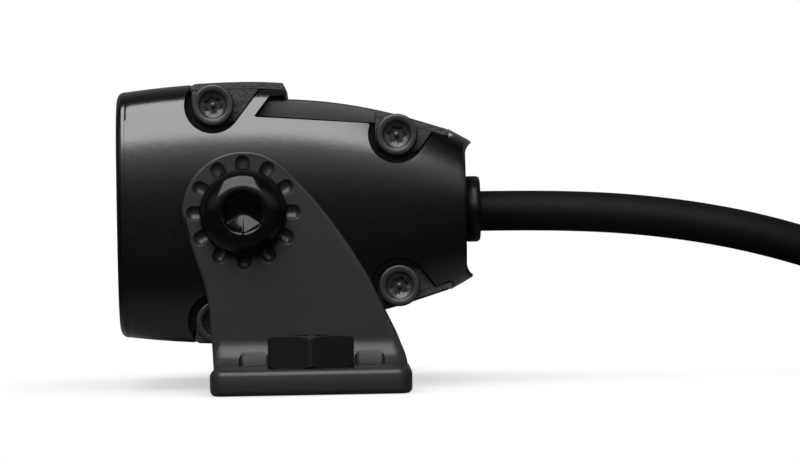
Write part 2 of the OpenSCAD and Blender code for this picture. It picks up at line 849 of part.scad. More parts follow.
// Round-ended groove in the arm's face, straight up from the tilt axis.
module flute() {
    inner = pivot_head_d / 2 - 1;
    translate([arm_out + flute_r - flute_depth, 0, inner])
        cylinder(h = flute_reach - flute_r - inner, r = flute_r);
    translate([arm_out + flute_r - flute_depth, 0, flute_reach - flute_r]) sphere(flute_r);
}

// Bracket on the +X side: arm, foot and fillet in one piece.
module bracket() {
    color([0.14, 0.14, 0.15]) difference() {
        union() {
            at_pivot() along_x(arm_in, arm_t) arm_outline();
            linear_extrude(foot_t) foot_outline();
            bracket_fillet();
        }
        at_pivot() {
            rod_x(arm_in - bite, arm_t + 2 * bite, pivot_d - 2 * seat_gap + 2 * run_gap);
            for (i = [0 : flute_count - 1]) rotate([i * 360 / flute_count, 0, 0]) flute();
        }
        translate([nut_axis_x, 0, -bite]) cylinder(h = foot_t + 2 * bite, r = nut_pass_r);
        for (sy = [-1, 1]) translate([arm_out + screw_hole_x, sy * screw_hole_spacing / 2, 0]) {
            translate([0, 0, -bite]) cylinder(h = foot_t + 2 * bite, d = screw_hole_d);
            translate([0, 0, foot_t]) cylinder(h = fillet_r, r = spot_r);
        }
    }
}

// Bracket on the camera's own left, the +X side.
module bracket_left() {
    bracket();
}

// Its mirror image.
module bracket_right() {
    mirror([1, 0, 0]) bracket();
}

// Hexagon nuts welded onto the feet, chamfered at both ends.
module weld_nuts() {
    corner_r = nut_af / 2 / cos(30);
    chamfer = 0.5;
    flat_r = nut_af / 2 + 0.2;
    color([0.12, 0.12, 0.13]) both_sides() translate([nut_axis_x, 0, foot_t]) difference() {
        intersection() {
            cylinder(h = nut_h, r = corner_r, $fn = 6);
            rotate_extrude() polygon([
                [0, 0], [flat_r, 0], [corner_r + tiny, chamfer], [corner_r + tiny, nut_h - chamfer],
                [flat_r, nut_h], [0, nut_h]
            ]);
        }
        translate([0, 0, -bite]) cylinder(h = nut_h + 2 * bite, r = nut_thread_r);
    }
}

// Unit vector.
function unit(v) = v / norm(v);

// Direction of a route at its point i, from the points on each side of it.
function heading(pts, i) = unit(pts[min(i + 1, len(pts) - 1)] - pts[max(i - 1, 0)]);

// Ring of points round a route's point i, square to the route.
function ring(pts, i, r, sides) =
    let (t = heading(pts, i), side = unit(cross(t, [0, 0, 1])), up = cross(side, t))
    [for (k = [0 : sides - 1]) let (a = 360 * (k + 0.5) / sides)
        pts[i] + r * (cos(a) * side + sin(a) * up)];

// Tube swept along a route as one closed solid.
module tube(pts, r, sides) {
    n = len(pts);
    points = [for (i = [0 : n - 1]) each ring(pts, i, r, sides)];
    walls = [for (i = [0 : n - 2], k = [0 : sides - 1])
        let (a = i * sides + k, b = i * sides + (k + 1) % sides)
        [a, b, b + sides, a + sides]];
    ends = [[for (k = [0 : sides - 1]) sides - 1 - k], [for (k = [0 : sides - 1]) (n - 1) * sides + k]];
    polyhedron(points, concat(walls, ends), convexity = 6);
}

// Free stretch of the lead, from the gland to the coil.
module cable() {
    color([0.06, 0.06, 0.06]) tube(CABLE_POINTS, cable_r, cable_sides);
}

// Outer shape of the two turns of the coil, one on the other.
module cable_coil() {
    color([0.06, 0.06, 0.06]) translate([coil_x, coil_y, coil_lift]) rotate_extrude()
        translate([coil_r, 0]) {
            translate([-cable_r, cable_r]) square([cable_d, cable_d]);
            for (z = [1, 3]) translate([0, z * cable_r]) circle(cable_r);
        }
}

// End of the lead, from the top of the coil to the connector.
module cable_end() {
    color([0.06, 0.06, 0.06]) tube(CABLE_END_POINTS, cable_r, cable_sides);
}

// Band that holds the turns together at the far side of the coil.
module coil_tie() {
    tie_w = 6;
    tie_t = 0.5;
    room = 0.05;
    low = coil_lift - room - tie_t;
    inner_w = cable_d + 2 * room + 0.3;
    inner_h = 2 * cable_d + 2 * room;
    color([0.12, 0.12, 0.12]) translate([coil_x - tie_w / 2, coil_y + coil_r, low]) rotate([90, 0, 90])
        linear_extrude(tie_w) translate([0, inner_h / 2 + tie_t]) difference() {
            round_box(inner_w + 2 * tie_t, inner_h + 2 * tie_t, cable_r + tie_t);
            round_box(inner_w, inner_h, cable_r);
        }
}

// Places a connector piece, whose own axis runs along +Y from the end of the lead.
module at_plug() {
    translate(plug_start) rotate([0, 0, plug_turn]) children();
}

// Rubber boot behind the connector.
module plug_boot() {
    color([0.05, 0.05, 0.05]) at_plug() rotate([-90, 0, 0])
        cylinder(h = boot_l, d1 = cable_d + 1, d2 = plug_body_d - 2);
}

// Connector's shell.
module plug_body() {
    color([0.1, 0.1, 0.1]) at_plug() difference() {
        rod_y(boot_l, plug_body_l, plug_body_d);
        rod_y(boot_l + plug_body_l / 2, plug_body_l, plug_body_d - 2 * plug_wall);
    }
}

// Coupling ring that screws onto the mating half.
module plug_ring() {
    start = boot_l + plug_body_l - ring_overlap;
    grips = 16;
    color([0.14, 0.14, 0.15]) at_plug() difference() {
        rod_y(start, plug_ring_l, plug_d);
        rod_y(start - bite, ring_overlap + bite + seat_gap, plug_body_d + 2 * seat_gap);
        rod_y(start, plug_ring_l + bite, plug_body_d - 0.8);
        for (i = [0 : grips - 1]) rotate([0, i * 360 / grips, 0])
            translate([0, start - bite, plug_d / 2 + 0.4]) rotate([-90, 0, 0])
                cylinder(h = plug_ring_l - 3, r = 0.8, $fn = 16);
    }
}

// Places a piece at each of the connector's four contacts.
module at_contacts() {
    for (i = [0 : 3]) rotate([0, 45 + 90 * i, 0]) translate([0, 0, 2.6]) children();
}

// Insulating core of the connector.
module plug_insert() {
    start = boot_l + plug_body_l / 2;
    color([0.1, 0.1, 0.1]) at_plug() difference() {
        rod_y(start, plug_body_l / 2 + 5, plug_insert_d);
        at_contacts() rod_y(start - bite, plug_body_l + 7, 1.3);
    }
}

// Four contact pins.
module plug_pins() {
    start = boot_l + plug_body_l / 2;
    color([0.8, 0.65, 0.3]) at_plug() at_contacts() rod_y(start, plug_body_l / 2 + 8, 1.2);
}

housing();
top_cover();
bottom_cover();
cover_screws();
front_bezel();
bezel_screws();
front_glass();
glass_gasket();
led_board();
infrared_lamps();
light_sensor();
lens_barrel();
lens_elements();
lens_holder();
image_sensor();
main_board();
board_chips();
board_standoffs();
board_screws();
board_socket();
inner_leads();
gland_body();
gland_locknut();
gland_seal();
pivot_inserts();
pivot_bolts();
friction_washers();
bracket_left();
bracket_right();
weld_nuts();
cable();
cable_coil();
cable_end();
coil_tie();
plug_boot();
plug_body();
plug_ring();
plug_insert();
plug_pins();
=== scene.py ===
"""Looks of a heavy-duty reversing camera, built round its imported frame.

The head is a cast body that tilts between two L-shaped brackets. Shapes are worked out with numpy
in millimetres, in the frame's axes: the lens faces -Y, +Z is up and the head tilts about X. They
become metres when a mesh is made.
"""
import json
import logging
import math
from dataclasses import dataclass
from enum import Enum

import bpy
import numpy as np
from mathutils import Matrix


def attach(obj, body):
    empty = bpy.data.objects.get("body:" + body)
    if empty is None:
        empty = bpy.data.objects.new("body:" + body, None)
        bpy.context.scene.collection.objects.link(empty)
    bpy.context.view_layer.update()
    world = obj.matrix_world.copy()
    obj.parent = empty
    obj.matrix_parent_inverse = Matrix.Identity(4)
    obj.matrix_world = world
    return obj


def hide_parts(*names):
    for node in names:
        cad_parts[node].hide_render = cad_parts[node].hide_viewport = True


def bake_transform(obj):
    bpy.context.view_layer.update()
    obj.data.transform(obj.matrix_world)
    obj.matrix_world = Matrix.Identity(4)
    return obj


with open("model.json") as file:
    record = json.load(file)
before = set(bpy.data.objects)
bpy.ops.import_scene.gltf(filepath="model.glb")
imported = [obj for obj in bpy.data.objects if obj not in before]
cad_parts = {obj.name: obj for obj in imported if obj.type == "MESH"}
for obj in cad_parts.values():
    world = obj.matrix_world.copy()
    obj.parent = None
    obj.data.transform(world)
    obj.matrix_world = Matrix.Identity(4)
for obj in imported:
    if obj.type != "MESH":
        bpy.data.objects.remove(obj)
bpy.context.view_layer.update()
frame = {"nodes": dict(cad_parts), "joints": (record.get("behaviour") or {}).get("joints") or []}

LOG = logging.getLogger("reversing_camera")
MM = 0.001
FULL_TURN = 2 * math.pi
TILT_AXIS = np.array(frame["joints"][0]["pos_m"]) / MM
Array = np.ndarray
Shell = tuple[Array, list[Array]]


class Body(Enum):
    """The two bodies that the pieces ride on."""

    HEAD = "head"
    BRACKETS = "brackets"


class Side(Enum):
    """Which side of the camera a mirrored piece stands on, as the sign of X."""

    LEFT = 1
    RIGHT = -1


# ---------------------------------------------------------------- surfaces

def ease(value: Array, low: float, high: float) -> Array:
    """Smooth step from 0 at low to 1 at high.

    Args:
        value: Where the step is read.
        low: The value at which it starts.
        high: The value at which it is done.

    Returns:
        3t^2 - 2t^3 of t, the share of the way from low to high.
    """
    t = np.clip((value - low) / (high - low), 0, 1)
    return t * t * (3 - 2 * t)


def rounded_end(radius: float, steps: int) -> tuple[Array, Array]:
    """Quarter circle that ends a wall.

    Args:
        radius: Radius of the edge.
        steps: How many points it takes.

    Returns:
        How far each point lies inward from the wall and along from the edge's start:
        radius (1 - cos a) and radius sin a.
    """
    a = np.linspace(0, math.pi / 2, steps)
    return radius * (1 - np.cos(a)), radius * np.sin(a)


def loft(rings: Array, start: Array | None = None, end: Array | None = None,
         looped: bool = False) -> Shell:
    """Closed surface through rings of points.

    Ring k's point j joins ring k + 1's point j and its neighbour, and each ring closes on itself.

    Args:
        rings: Points as (ring, column, 3).
        start: Pole that closes the first ring, or None.
        end: Pole that closes the last ring, or None.
        looped: Whether the last ring joins the first.

    Returns:
        The points, and the arrays of faces: quads and, at poles, triangles.
    """
    count, columns = rings.shape[:2]
    points = rings.reshape(-1, 3)
    here = np.arange(columns)
    after = (here + 1) % columns
    last = count if looped else count - 1
    row = np.arange(last)[:, None] * columns
    following = ((np.arange(last)[:, None] + 1) % count) * columns
    quads = np.stack([row + here, row + after, following + after, following + here], axis=-1)
    faces = [quads.reshape(-1, 4)]
    for pole, base, flip in ((start, 0, True), (end, (count - 1) * columns, False)):
        if pole is not None:
            apex = np.full(columns, len(points))
            points = np.vstack([points, np.asarray(pole, float)[None]])
            fan = np.stack([base + here, base + after, apex], axis=-1)
            faces.append(fan[:, ::-1] if flip else fan)
    return points, faces


def capped(rings: Array) -> Shell:
    """Surface through rings of points, closed by a flat face at each end.

    Args:
        rings: Points as (ring, column, 3).

    Returns:
        The points, the quads between the rings and the two end faces.
    """
    points, faces = loft(rings)
    count, columns = rings.shape[:2]
    first = np.arange(columns)[None, ::-1]
    last = (count - 1) * columns + np.arange(columns)[None]
    return points, faces + [first, last]


def outward(shell: Shell) -> Shell:
    """The same closed shell with its faces turned outward.

    Args:
        shell: Points and faces of one closed surface.

    Returns:
        The shell, with every face reversed if its signed volume, a sixth of the sum of
        a . (b x c) over its triangles, is negative.
    """
    points, faces = shell
    volume = 0.0
    for part in faces:
        a = points[part[:, 0]]
        for k in range(1, part.shape[1] - 1):
            volume += np.einsum("ij,ij->", a, np.cross(points[part[:, k]], points[part[:, k + 1]]))
    return (points, faces) if volume > 0 else (points, [part[:, ::-1] for part in faces])


def joined(shells: list[Shell]) -> Shell:
    """Several closed shells as one.

    Args:
        shells: The shells.

    Returns:
        All their points in a row, and their faces counted on.
    """
    points: list[Array] = []
    faces: list[Array] = []
    offset = 0
    for shell_points, shell_faces in (outward(shell) for shell in shells):
        points.append(shell_points)
        faces.extend(part + offset for part in shell_faces)
        offset += len(shell_points)
    return np.vstack(points), faces


def mirrored(shell: Shell, axis: int = 0) -> Shell:
    """Mirror image of a shell in the plane square to an axis through the origin.

    Args:
        shell: The shell.
        axis: 0 for X, 1 for Y, 2 for Z.

    Returns:
        The mirrored shell, its faces still outward.
    """
    points, faces = shell
    sign = np.ones(3)
    sign[axis] = -1
    return points * sign, [part[:, ::-1] for part in faces]


def moved(shell: Shell, offset: Array | tuple[float, float, float]) -> Shell:
    """The shell, shifted by an offset in millimetres."""
    return shell[0] + np.array(offset, float), shell[1]


def make_object(name: str, shell: Shell, material: bpy.types.Material,
                sharp_deg: float = 32) -> bpy.types.Object:
    """Object of a shell, its place kept in its mesh.

    Args:
        name: The piece's name.
        shell: Points in millimetres, and faces.
        material: The finish it wears.
        sharp_deg: Edges that turn more than this stay sharp.

    Returns:
        The object, linked to the scene.
    """
    points, faces = shell
    mesh = bpy.data.meshes.new(name)
    sizes = np.concatenate([np.full(len(part), part.shape[1]) for part in faces])
    corners = np.concatenate([part.ravel() for part in faces])
    mesh.vertices.add(len(points))
    mesh.vertices.foreach_set("co", (points * MM).astype(np.float32).ravel())
    mesh.loops.add(len(corners))
    mesh.loops.foreach_set("vertex_index", corners.astype(np.int32))
    mesh.polygons.add(len(sizes))
    mesh.polygons.foreach_set("loop_start", (np.cumsum(sizes) - sizes).astype(np.int32))
    mesh.update(calc_edges=True)
    mesh.validate()
    mesh.shade_smooth()
    mesh.set_sharp_from_angle(angle=math.radians(sharp_deg))
    mesh.materials.append(material)
    piece = bpy.data.objects.new(name, mesh)
    bpy.context.scene.collection.objects.link(piece)
    return piece


def cut(piece: bpy.types.Object, cutters: list[Shell], sharp_deg: float = 32) -> None:
    """Takes closed shells out of a piece, and leaves the result in its mesh.

    Args:
        piece: The piece to cut.
        cutters: Shells of what is taken away.
        sharp_deg: Edges that turn more than this stay sharp.
    """
    tool = make_object("cutter", joined(cutters), piece.data.materials[0])
    modifier = piece.modifiers.new("cut", "BOOLEAN")
    modifier.operation = "DIFFERENCE"
    modifier.solver = "EXACT"
    modifier.object = tool
    bpy.context.view_layer.update()
    shaped = bpy.data.meshes.new_from_object(
        piece.evaluated_get(bpy.context.evaluated_depsgraph_get()))
    piece.modifiers.clear()
    piece.data = shaped
    shaped.shade_smooth()
    shaped.set_sharp_from_angle(angle=math.radians(sharp_deg))
    bpy.data.objects.remove(tool)


def settle(piece: bpy.types.Object, body: Body, node: str) -> None:
    """Makes a finished piece ride on its body and stand for its CAD node.

    Args:
        piece: The finished piece.
        body: The body that it moves with.
        node: The CAD node that it stands for.
    """
    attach(piece, body.value)
    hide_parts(node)
    LOG.info("%s: %d faces", piece.name, len(piece.data.polygons))


def head_piece(name: str, shell: Shell, finish: "Finish", node: str,
               sharp_deg: float = 32) -> None:
    """Makes a piece of the head.

    Args:
        name: The piece's name.
        shell: Its shape, measured from the tilt axis.
        finish: What it wears.
        node: The CAD node that it stands for.
        sharp_deg: Edges that turn more than this stay sharp.
    """
    piece = make_object(name, moved(shell, TILT_AXIS), finish.material(), sharp_deg)
    settle(piece, Body.HEAD, node)


def ring_angles(count: int) -> Array:
    """Angles of a ring's columns, the first of them 0."""
    return np.linspace(0, FULL_TURN, count, endpoint=False)


def arc(centre: tuple[float, float], radius: float, start_deg: float, end_deg: float,
        steps: int) -> Array:
    """Points on a circle's arc: centre + radius (cos a, sin a)."""
    a = np.radians(np.linspace(start_deg, end_deg, steps))
    return np.array(centre) + radius * np.stack([np.cos(a), np.sin(a)], axis=-1)


def even(outline: Array, step: float) -> Array:
    """A closed outline with extra points on its long straight stretches.

    Args:
        outline: Corner points, in order.
        step: The most that neighbours may lie apart.

    Returns:
        The outline, its own points kept.
    """
    ends = np.roll(outline, -1, axis=0)
    counts = np.maximum(np.ceil(np.linalg.norm(ends - outline, axis=1) / step), 1).astype(int)
    index = np.repeat(np.arange(len(outline)), counts)
    share = (np.arange(len(index)) - np.repeat(np.cumsum(counts) - counts, counts)) / counts[index]
    return outline[index] + (ends - outline)[index] * share[:, None]


def inward(outline: Array) -> Array:
    """Directions that carry an outline's points inward by one, square to both its neighbours.

    Args:
        outline: Closed outline, counter-clockwise.

    Returns:
        (n1 + n2) / (1 + n1 . n2) of each point's two edge normals.
    """
    edge = np.roll(outline, -1, axis=0) - outline
    edge /= np.linalg.norm(edge, axis=1)[:, None]
    normal = np.stack([-edge[:, 1], edge[:, 0]], axis=-1)
    before = np.roll(normal, 1, axis=0)
    return (normal + before) / (1 + np.einsum("ij,ij->i", normal, before))[:, None].clip(0.4)


def rounded_prism(outline: Array, low: float, high: float, edge: float, steps: int = 4) -> Shell:
    """Plate with round edges: an outline carried from low to high and drawn in at both ends.

    Args:
        outline: Closed outline, counter-clockwise.
        low: Where it starts along its own third axis.
        high: Where it ends.
        edge: Radius of its edges.
        steps: Points round each edge.

    Returns:
        The plate, its outline in the first two axes, closed by a flat face at each end.
    """
    drawn, along = rounded_end(edge, steps)
    inset = np.concatenate([drawn[::-1], drawn])
    height = np.concatenate([low + edge - along[::-1], high - edge + along])
    flat = outline[None] + inset[:, None, None] * inward(outline)[None]
    level = np.broadcast_to(height[:, None, None], flat.shape[:2] + (1,))
    return capped(np.concatenate([flat, level], axis=-1))


def turned_to_x(shell: Shell) -> Shell:
    """A shell drawn as (Y, Z, X) put into (X, Y, Z)."""
    return shell[0][:, [2, 0, 1]], shell[1]


def turned_to_y(shell: Shell) -> Shell:
    """A shell drawn as (Z, X, Y) put into (X, Y, Z)."""
    return shell[0][:, [1, 2, 0]], shell[1]


def revolved(profile: list[tuple[float, float]], columns: int = 96, looped: bool = False) -> Shell:
    """Profile turned round the third axis.

    Args:
        profile: (radius, height) points. A first or last radius of 0 is a pole.
        columns: Points round each ring.
        looped: Whether the profile closes on itself.

    Returns:
        The turned shell: (r cos a, r sin a, h).
    """
    along = np.array(profile, float)
    start = np.array([0, 0, along[0, 1]]) if along[0, 0] == 0 else None
    end = np.array([0, 0, along[-1, 1]]) if along[-1, 0] == 0 else None
    along = along[along[:, 0] > 0]
    a = ring_angles(columns)
    rings = np.stack(np.broadcast_arrays(
        along[:, :1] * np.cos(a), along[:, :1] * np.sin(a), along[:, 1:2]), axis=-1)
    return loft(rings, start, end, looped)


def cylinder(centre: tuple[float, float], radius: float, low: float, high: float) -> Shell:
    """Upright round plug, as used to cut a hole."""
    plug = revolved([(0, low), (radius, low), (radius, high), (0, high)], 64)
    return moved(plug, (*centre, 0))


def hexagon(angle: Array, flats: float, sharpness: float = 60) -> Array:
    """Radius of a hexagon with slightly round corners, one of them at angle 0.

    Args:
        angle: Directions from its centre.
        flats: Distance across its flats.
        sharpness: Power of the mean; more is sharper.

    Returns:
        flats / 2 over the power mean of the cosines to its six sides.
    """
    sides = np.radians(30 + 60 * np.arange(6))
    lean = np.maximum(np.cos(angle[..., None] - sides), 0)
    return flats / 2 / np.power(np.sum(lean ** sharpness, axis=-1), 1 / sharpness)


def polar(radii: Array, heights: Array, angle: Array) -> Array:
    """Rings from polar values: (r cos a, r sin a, h).

    Args:
        radii: Radius of each ring at each angle, or of each ring.
        heights: Height of the same.
        angle: The columns' angles.

    Returns:
        Points as (ring, column, 3).
    """
    r = np.broadcast_to(radii if radii.ndim == 2 else radii[:, None], (len(radii), len(angle)))
    h = np.broadcast_to(heights if heights.ndim == 2 else heights[:, None], r.shape)
    return np.stack([r * np.cos(angle), r * np.sin(angle), h], axis=-1)


def smooth_route(points: Array, samples: int) -> Array:
    """Curve through every point of a route.

    Args:
        points: The route's points.
        samples: Points made for each of its stretches.

    Returns:
        Catmull-Rom curve: the cubic through p1 and p2 whose slopes are half of p2 - p0 and
        p3 - p1.
    """
    padded = np.vstack([2 * points[0] - points[1], points, 2 * points[-1] - points[-2]])
    p0, p1, p2, p3 = (padded[k:len(padded) - 3 + k, None] for k in range(4))
    t = np.linspace(0, 1, samples, endpoint=False)[None, :, None]
    curve = 0.5 * (2 * p1 + (p2 - p0) * t + (2 * p0 - 5 * p1 + 4 * p2 - p3) * t ** 2
                   + (3 * p1 - p0 - 3 * p2 + p3) * t ** 3)
    return np.vstack([curve.reshape(-1, 3), points[-1:]])


# ---------------------------------------------------------------- finishes

class Nodes:
    """Small helper that adds shader nodes to a material or a world and joins them."""

    def __init__(self, name: str, world: bool = False) -> None:
        """Starts a material, or a world, with an empty tree and an output.

        Args:
            name: Its name.
            world: Whether it is a world.
        """
        self.owner = (bpy.data.worlds if world else bpy.data.materials).new(name)
        self.owner.use_nodes = True
        self.tree = self.owner.node_tree
        self.tree.nodes.clear()
        self.output = self.add("OutputWorld" if world else "OutputMaterial")

    def add(self, kind: str, values: dict | None = None, **settings: object) -> bpy.types.Node:
        """Adds a node.

        Args:
            kind: Node type, without the ShaderNode prefix.
            values: What its inputs get, by name or number: a constant or another node's socket.
            settings: The node's own settings.

        Returns:
            The node.
        """
        node = self.tree.nodes.new("ShaderNode" + kind)
        for key, value in settings.items():
            setattr(node, key, value)
        for key, value in (values or {}).items():
            if isinstance(value, bpy.types.NodeSocket):
                self.tree.links.new(value, node.inputs[key])
            else:
                node.inputs[key].default_value = value
        return node

    def finished(self, shader: bpy.types.Node) -> bpy.types.ID:
        """Joins a shader to the output, and gives the material or the world."""
        self.tree.links.new(shader.outputs[0], self.output.inputs["Surface"])
        return self.owner

    def math(self, operation: str, *values: float | bpy.types.NodeSocket) -> bpy.types.NodeSocket:
        """Result of an operation on constants or sockets."""
        return self.add("Math", dict(enumerate(values)), operation=operation).outputs[0]

    def noise(self, size_mm: float, detail: float = 2, roughness: float = 0.5) -> bpy.types.NodeSocket:
        """Noise on Object coordinates.

        Args:
            size_mm: Rough size of its grains.
            detail: Octaves of finer noise.
            roughness: How strong these are.

        Returns:
            Its value socket, about 0.3 to 0.7.
        """
        place = self.add("TexCoord").outputs["Object"]
        return self.add("TexNoise", {
            "Vector": place, "Scale": 1 / (size_mm * MM), "Detail": detail,
            "Roughness": roughness}).outputs["Fac"]

    def range(self, source: bpy.types.NodeSocket, low: float, high: float,
              span: tuple[float, float] = (0.3, 0.7), kind: str = "LINEAR") -> bpy.types.NodeSocket:
        """Carries a value from one range to another.

        Args:
            source: The value.
            low: Result where the value's range starts.
            high: Result where it ends.
            span: The value's range.
            kind: How the result goes from low to high.

        Returns:
            The result's socket.
        """
        return self.add("MapRange", {
            "Value": source, "From Min": span[0], "From Max": span[1], "To Min": low,
            "To Max": high}, interpolation_type=kind).outputs["Result"]

    def ramp(self, source: bpy.types.NodeSocket,
             stops: tuple[tuple[float, float], ...]) -> bpy.types.NodeSocket:
        """Turns a value into a grey.

        Args:
            source: The value.
            stops: Values and their greys, in rising order.

        Returns:
            The grey's socket, straight between neighbouring stops.
        """
        node = self.add("ValToRGB", {"Fac": source})
        for end, (value, grey) in zip(node.color_ramp.elements, (stops[0], stops[-1])):
            end.position, end.color = value, rgba((grey, grey, grey))
        for value, grey in stops[1:-1]:
            node.color_ramp.elements.new(value).color = rgba((grey, grey, grey))
        return node.outputs["Color"]


def rgba(colour: tuple[float, float, float]) -> tuple[float, float, float, float]:
    """A linear colour with full alpha."""
    return (*colour, 1.0)


@dataclass(frozen=True)
class Finish:
    """Opaque surface with a grain, a finer second colour and uneven gloss.

    The grain's bump adds two noises, one of size grain_mm and one of four times that. The colour
    goes from colour to worn with a slow noise, and the roughness between its two bounds.
    """

    name: str
    colour: tuple[float, float, float]
    worn: tuple[float, float, float]
    roughness: tuple[float, float]
    grain_mm: float = 0.3
    grain_depth: float = 0.1
    grain_detail: float = 2
    patch_mm: float = 9
    metallic: float = 0.0
    specular: float = 0.5
    coat: float = 0.0
    coat_roughness: float = 0.1

    def material(self) -> bpy.types.Material:
        """Builds the material.

        Returns:
            The material.
        """
        nodes = Nodes(self.name)
        patches = nodes.noise(self.patch_mm, 4, 0.6)
        grain = nodes.noise(self.grain_mm, self.grain_detail, 0.6)
        tint = nodes.add("Mix", {
            "Factor": nodes.range(patches, 0, 1), "A": rgba(self.colour), "B": rgba(self.worn)},
            data_type="RGBA")
        bump = nodes.add("Bump", {
            "Strength": 1.0, "Distance": self.grain_depth * MM,
            "Height": nodes.math("ADD", grain, nodes.noise(4 * self.grain_mm, 1))})
        return nodes.finished(nodes.add("BsdfPrincipled", {
            "Base Color": tint.outputs["Result"], "Roughness": nodes.range(grain, *self.roughness),
            "Metallic": self.metallic, "Specular IOR Level": self.specular,
            "Coat Weight": self.coat, "Coat Roughness": self.coat_roughness,
            "Normal": bump.outputs["Normal"]}))


@dataclass(frozen=True)
class ClearFinish:
    """Clear or tinted glass or resin, with faint uneven gloss."""

    name: str
    colour: tuple[float, float, float]
    roughness: float = 0.01
    refraction: float = 1.5
    coat: float = 0.0

    def material(self) -> bpy.types.Material:
        """Builds the material.

        Returns:
            The material.
        """
        nodes = Nodes(self.name)
        gloss = nodes.range(nodes.noise(3), self.roughness, self.roughness + 0.015)
        return nodes.finished(nodes.add("BsdfPrincipled", {
            "Base Color": rgba(self.colour), "Roughness": gloss, "Transmission Weight": 1.0,
            "IOR": self.refraction, "Coat Weight": self.coat}))


@dataclass(frozen=True)
class BoardFinish:
    """Circuit board: solder mask with raised tracks, made of a grid of bricks turned by noise."""

    name: str
    mask: tuple[float, float, float]
    track: tuple[float, float, float]

    def material(self) -> bpy.types.Material:
        """Builds the material.

        Returns:
            The material.
        """
        nodes = Nodes(self.name)
        place = nodes.add("TexCoord").outputs["Object"]
        turn = nodes.add("Mapping", {"Vector": place, "Rotation": (math.pi / 2, 0, 0)})
        bricks = nodes.add("TexBrick", {
            "Vector": turn.outputs["Vector"], "Scale": 1 / (4 * MM), "Mortar Size": 0.06,
            "Color1": rgba(self.mask), "Color2": rgba(self.mask), "Mortar": rgba(self.track)})
        bump = nodes.add("Bump", {
            "Strength": 0.6, "Distance": 0.05 * MM, "Height": bricks.outputs["Fac"]})
        return nodes.finished(nodes.add("BsdfPrincipled", {
            "Base Color": bricks.outputs["Color"], "Roughness": 0.32, "Coat Weight": 0.4,
            "Normal": bump.outputs["Normal"]}))


POWDER_COAT = Finish("black_powder_coat", (0.0004, 0.0004, 0.0005), (0.0007, 0.0007, 0.0008),
                     (0.17, 0.22), grain_mm=0.35, grain_depth=0.005, patch_mm=14, specular=0.5)
BAND_COAT = Finish("black_smooth_cast", (0.006, 0.006, 0.0062), (0.008, 0.008, 0.0083),
                   (0.6, 0.7), grain_mm=0.3, grain_depth=0.02, patch_mm=6)
BRACKET_COAT = Finish("bracket_powder_coat", (0.0088, 0.009, 0.0098), (0.0108, 0.011, 0.0118),
                      (0.32, 0.4), grain_mm=0.3, grain_depth=0.008, patch_mm=10, specular=0.22)
NUT_COAT = Finish("nut_powder_coat", (0.0032, 0.0032, 0.0034), (0.0042, 0.0042, 0.0044),
                  (0.3, 0.38), grain_mm=0.3, grain_depth=0.012, patch_mm=10, specular=0.25)
TEXTURED_CAST = Finish("black_textured_cast", (0.006, 0.0061, 0.0063), (0.014, 0.014, 0.0143),
                       (0.5, 0.75), grain_mm=0.28, grain_depth=0.22, grain_detail=5, patch_mm=1.2)
BLACK_OXIDE = Finish("black_oxide_steel", (0.012, 0.012, 0.0125), (0.022, 0.022, 0.023), (0.3, 0.42),
                     grain_mm=0.2, grain_depth=0.015, patch_mm=3, metallic=0.5)
GLOSS_BLACK = Finish("gloss_black_steel", (0.0012, 0.0012, 0.0014), (0.002, 0.002, 0.0022),
                     (0.1, 0.15), grain_mm=0.6, grain_depth=0.002, patch_mm=4, specular=0.16)
PLAIN_STEEL = Finish("zinc_steel", (0.55, 0.55, 0.57), (0.42, 0.42, 0.44), (0.22, 0.38),
                     grain_mm=0.15, grain_depth=0.02, patch_mm=3, metallic=1)
BRASS = Finish("brass", (0.75, 0.56, 0.26), (0.62, 0.44, 0.19), (0.2, 0.35), grain_mm=0.15,
               grain_depth=0.01, patch_mm=3, metallic=1)
RUBBER = Finish("black_rubber", (0.012, 0.012, 0.012), (0.02, 0.02, 0.02), (0.6, 0.78),
                grain_mm=0.12, grain_depth=0.02, patch_mm=4)
CABLE_JACKET = Finish("cable_jacket", (0.0016, 0.0016, 0.0017), (0.0026, 0.0026, 0.0027),
                      (0.52, 0.66), grain_mm=0.22, grain_depth=0.012, patch_mm=12,
                      specular=0.065)
MOULDED = Finish("black_moulded_plastic", (0.014, 0.014, 0.0145), (0.02, 0.02, 0.0205),
                 (0.42, 0.6), grain_mm=0.18, grain_depth=0.025, patch_mm=5)
SATIN_PLASTIC = Finish("black_satin_plastic", (0.0018, 0.0018, 0.002), (0.003, 0.003, 0.0032),
                       (0.3, 0.4), grain_mm=0.4, grain_depth=0.008, patch_mm=6, specular=0.15)
WHITE_PLASTIC = Finish("white_moulded_plastic", (0.7, 0.69, 0.65), (0.6, 0.59, 0.55), (0.4, 0.55),
                       grain_mm=0.2, grain_depth=0.02, patch_mm=4)
LEAD_INSULATION = Finish("lead_insulation", (0.35, 0.02, 0.02), (0.28, 0.015, 0.015), (0.3, 0.42),
                         grain_mm=0.2, grain_depth=0.01, patch_mm=4)
SENSOR = Finish("sensor_chip", (0.03, 0.05, 0.09), (0.05, 0.04, 0.1), (0.06, 0.12), grain_mm=0.4,
                grain_depth=0.002, patch_mm=2, coat=0.8)
WINDOW = ClearFinish("window_glass", (0.93, 0.96, 0.96))
LENS = ClearFinish("lens_glass", (0.72, 0.76, 0.98), refraction=1.6, coat=0.6)
LAMP_RESIN = ClearFinish("clear_lamp_resin", (0.6, 0.55, 0.68), roughness=0.04)
BOARD = BoardFinish("circuit_board", (0.008, 0.035, 0.018), (0.02, 0.075, 0.035))


# ---------------------------------------------------------------- stage

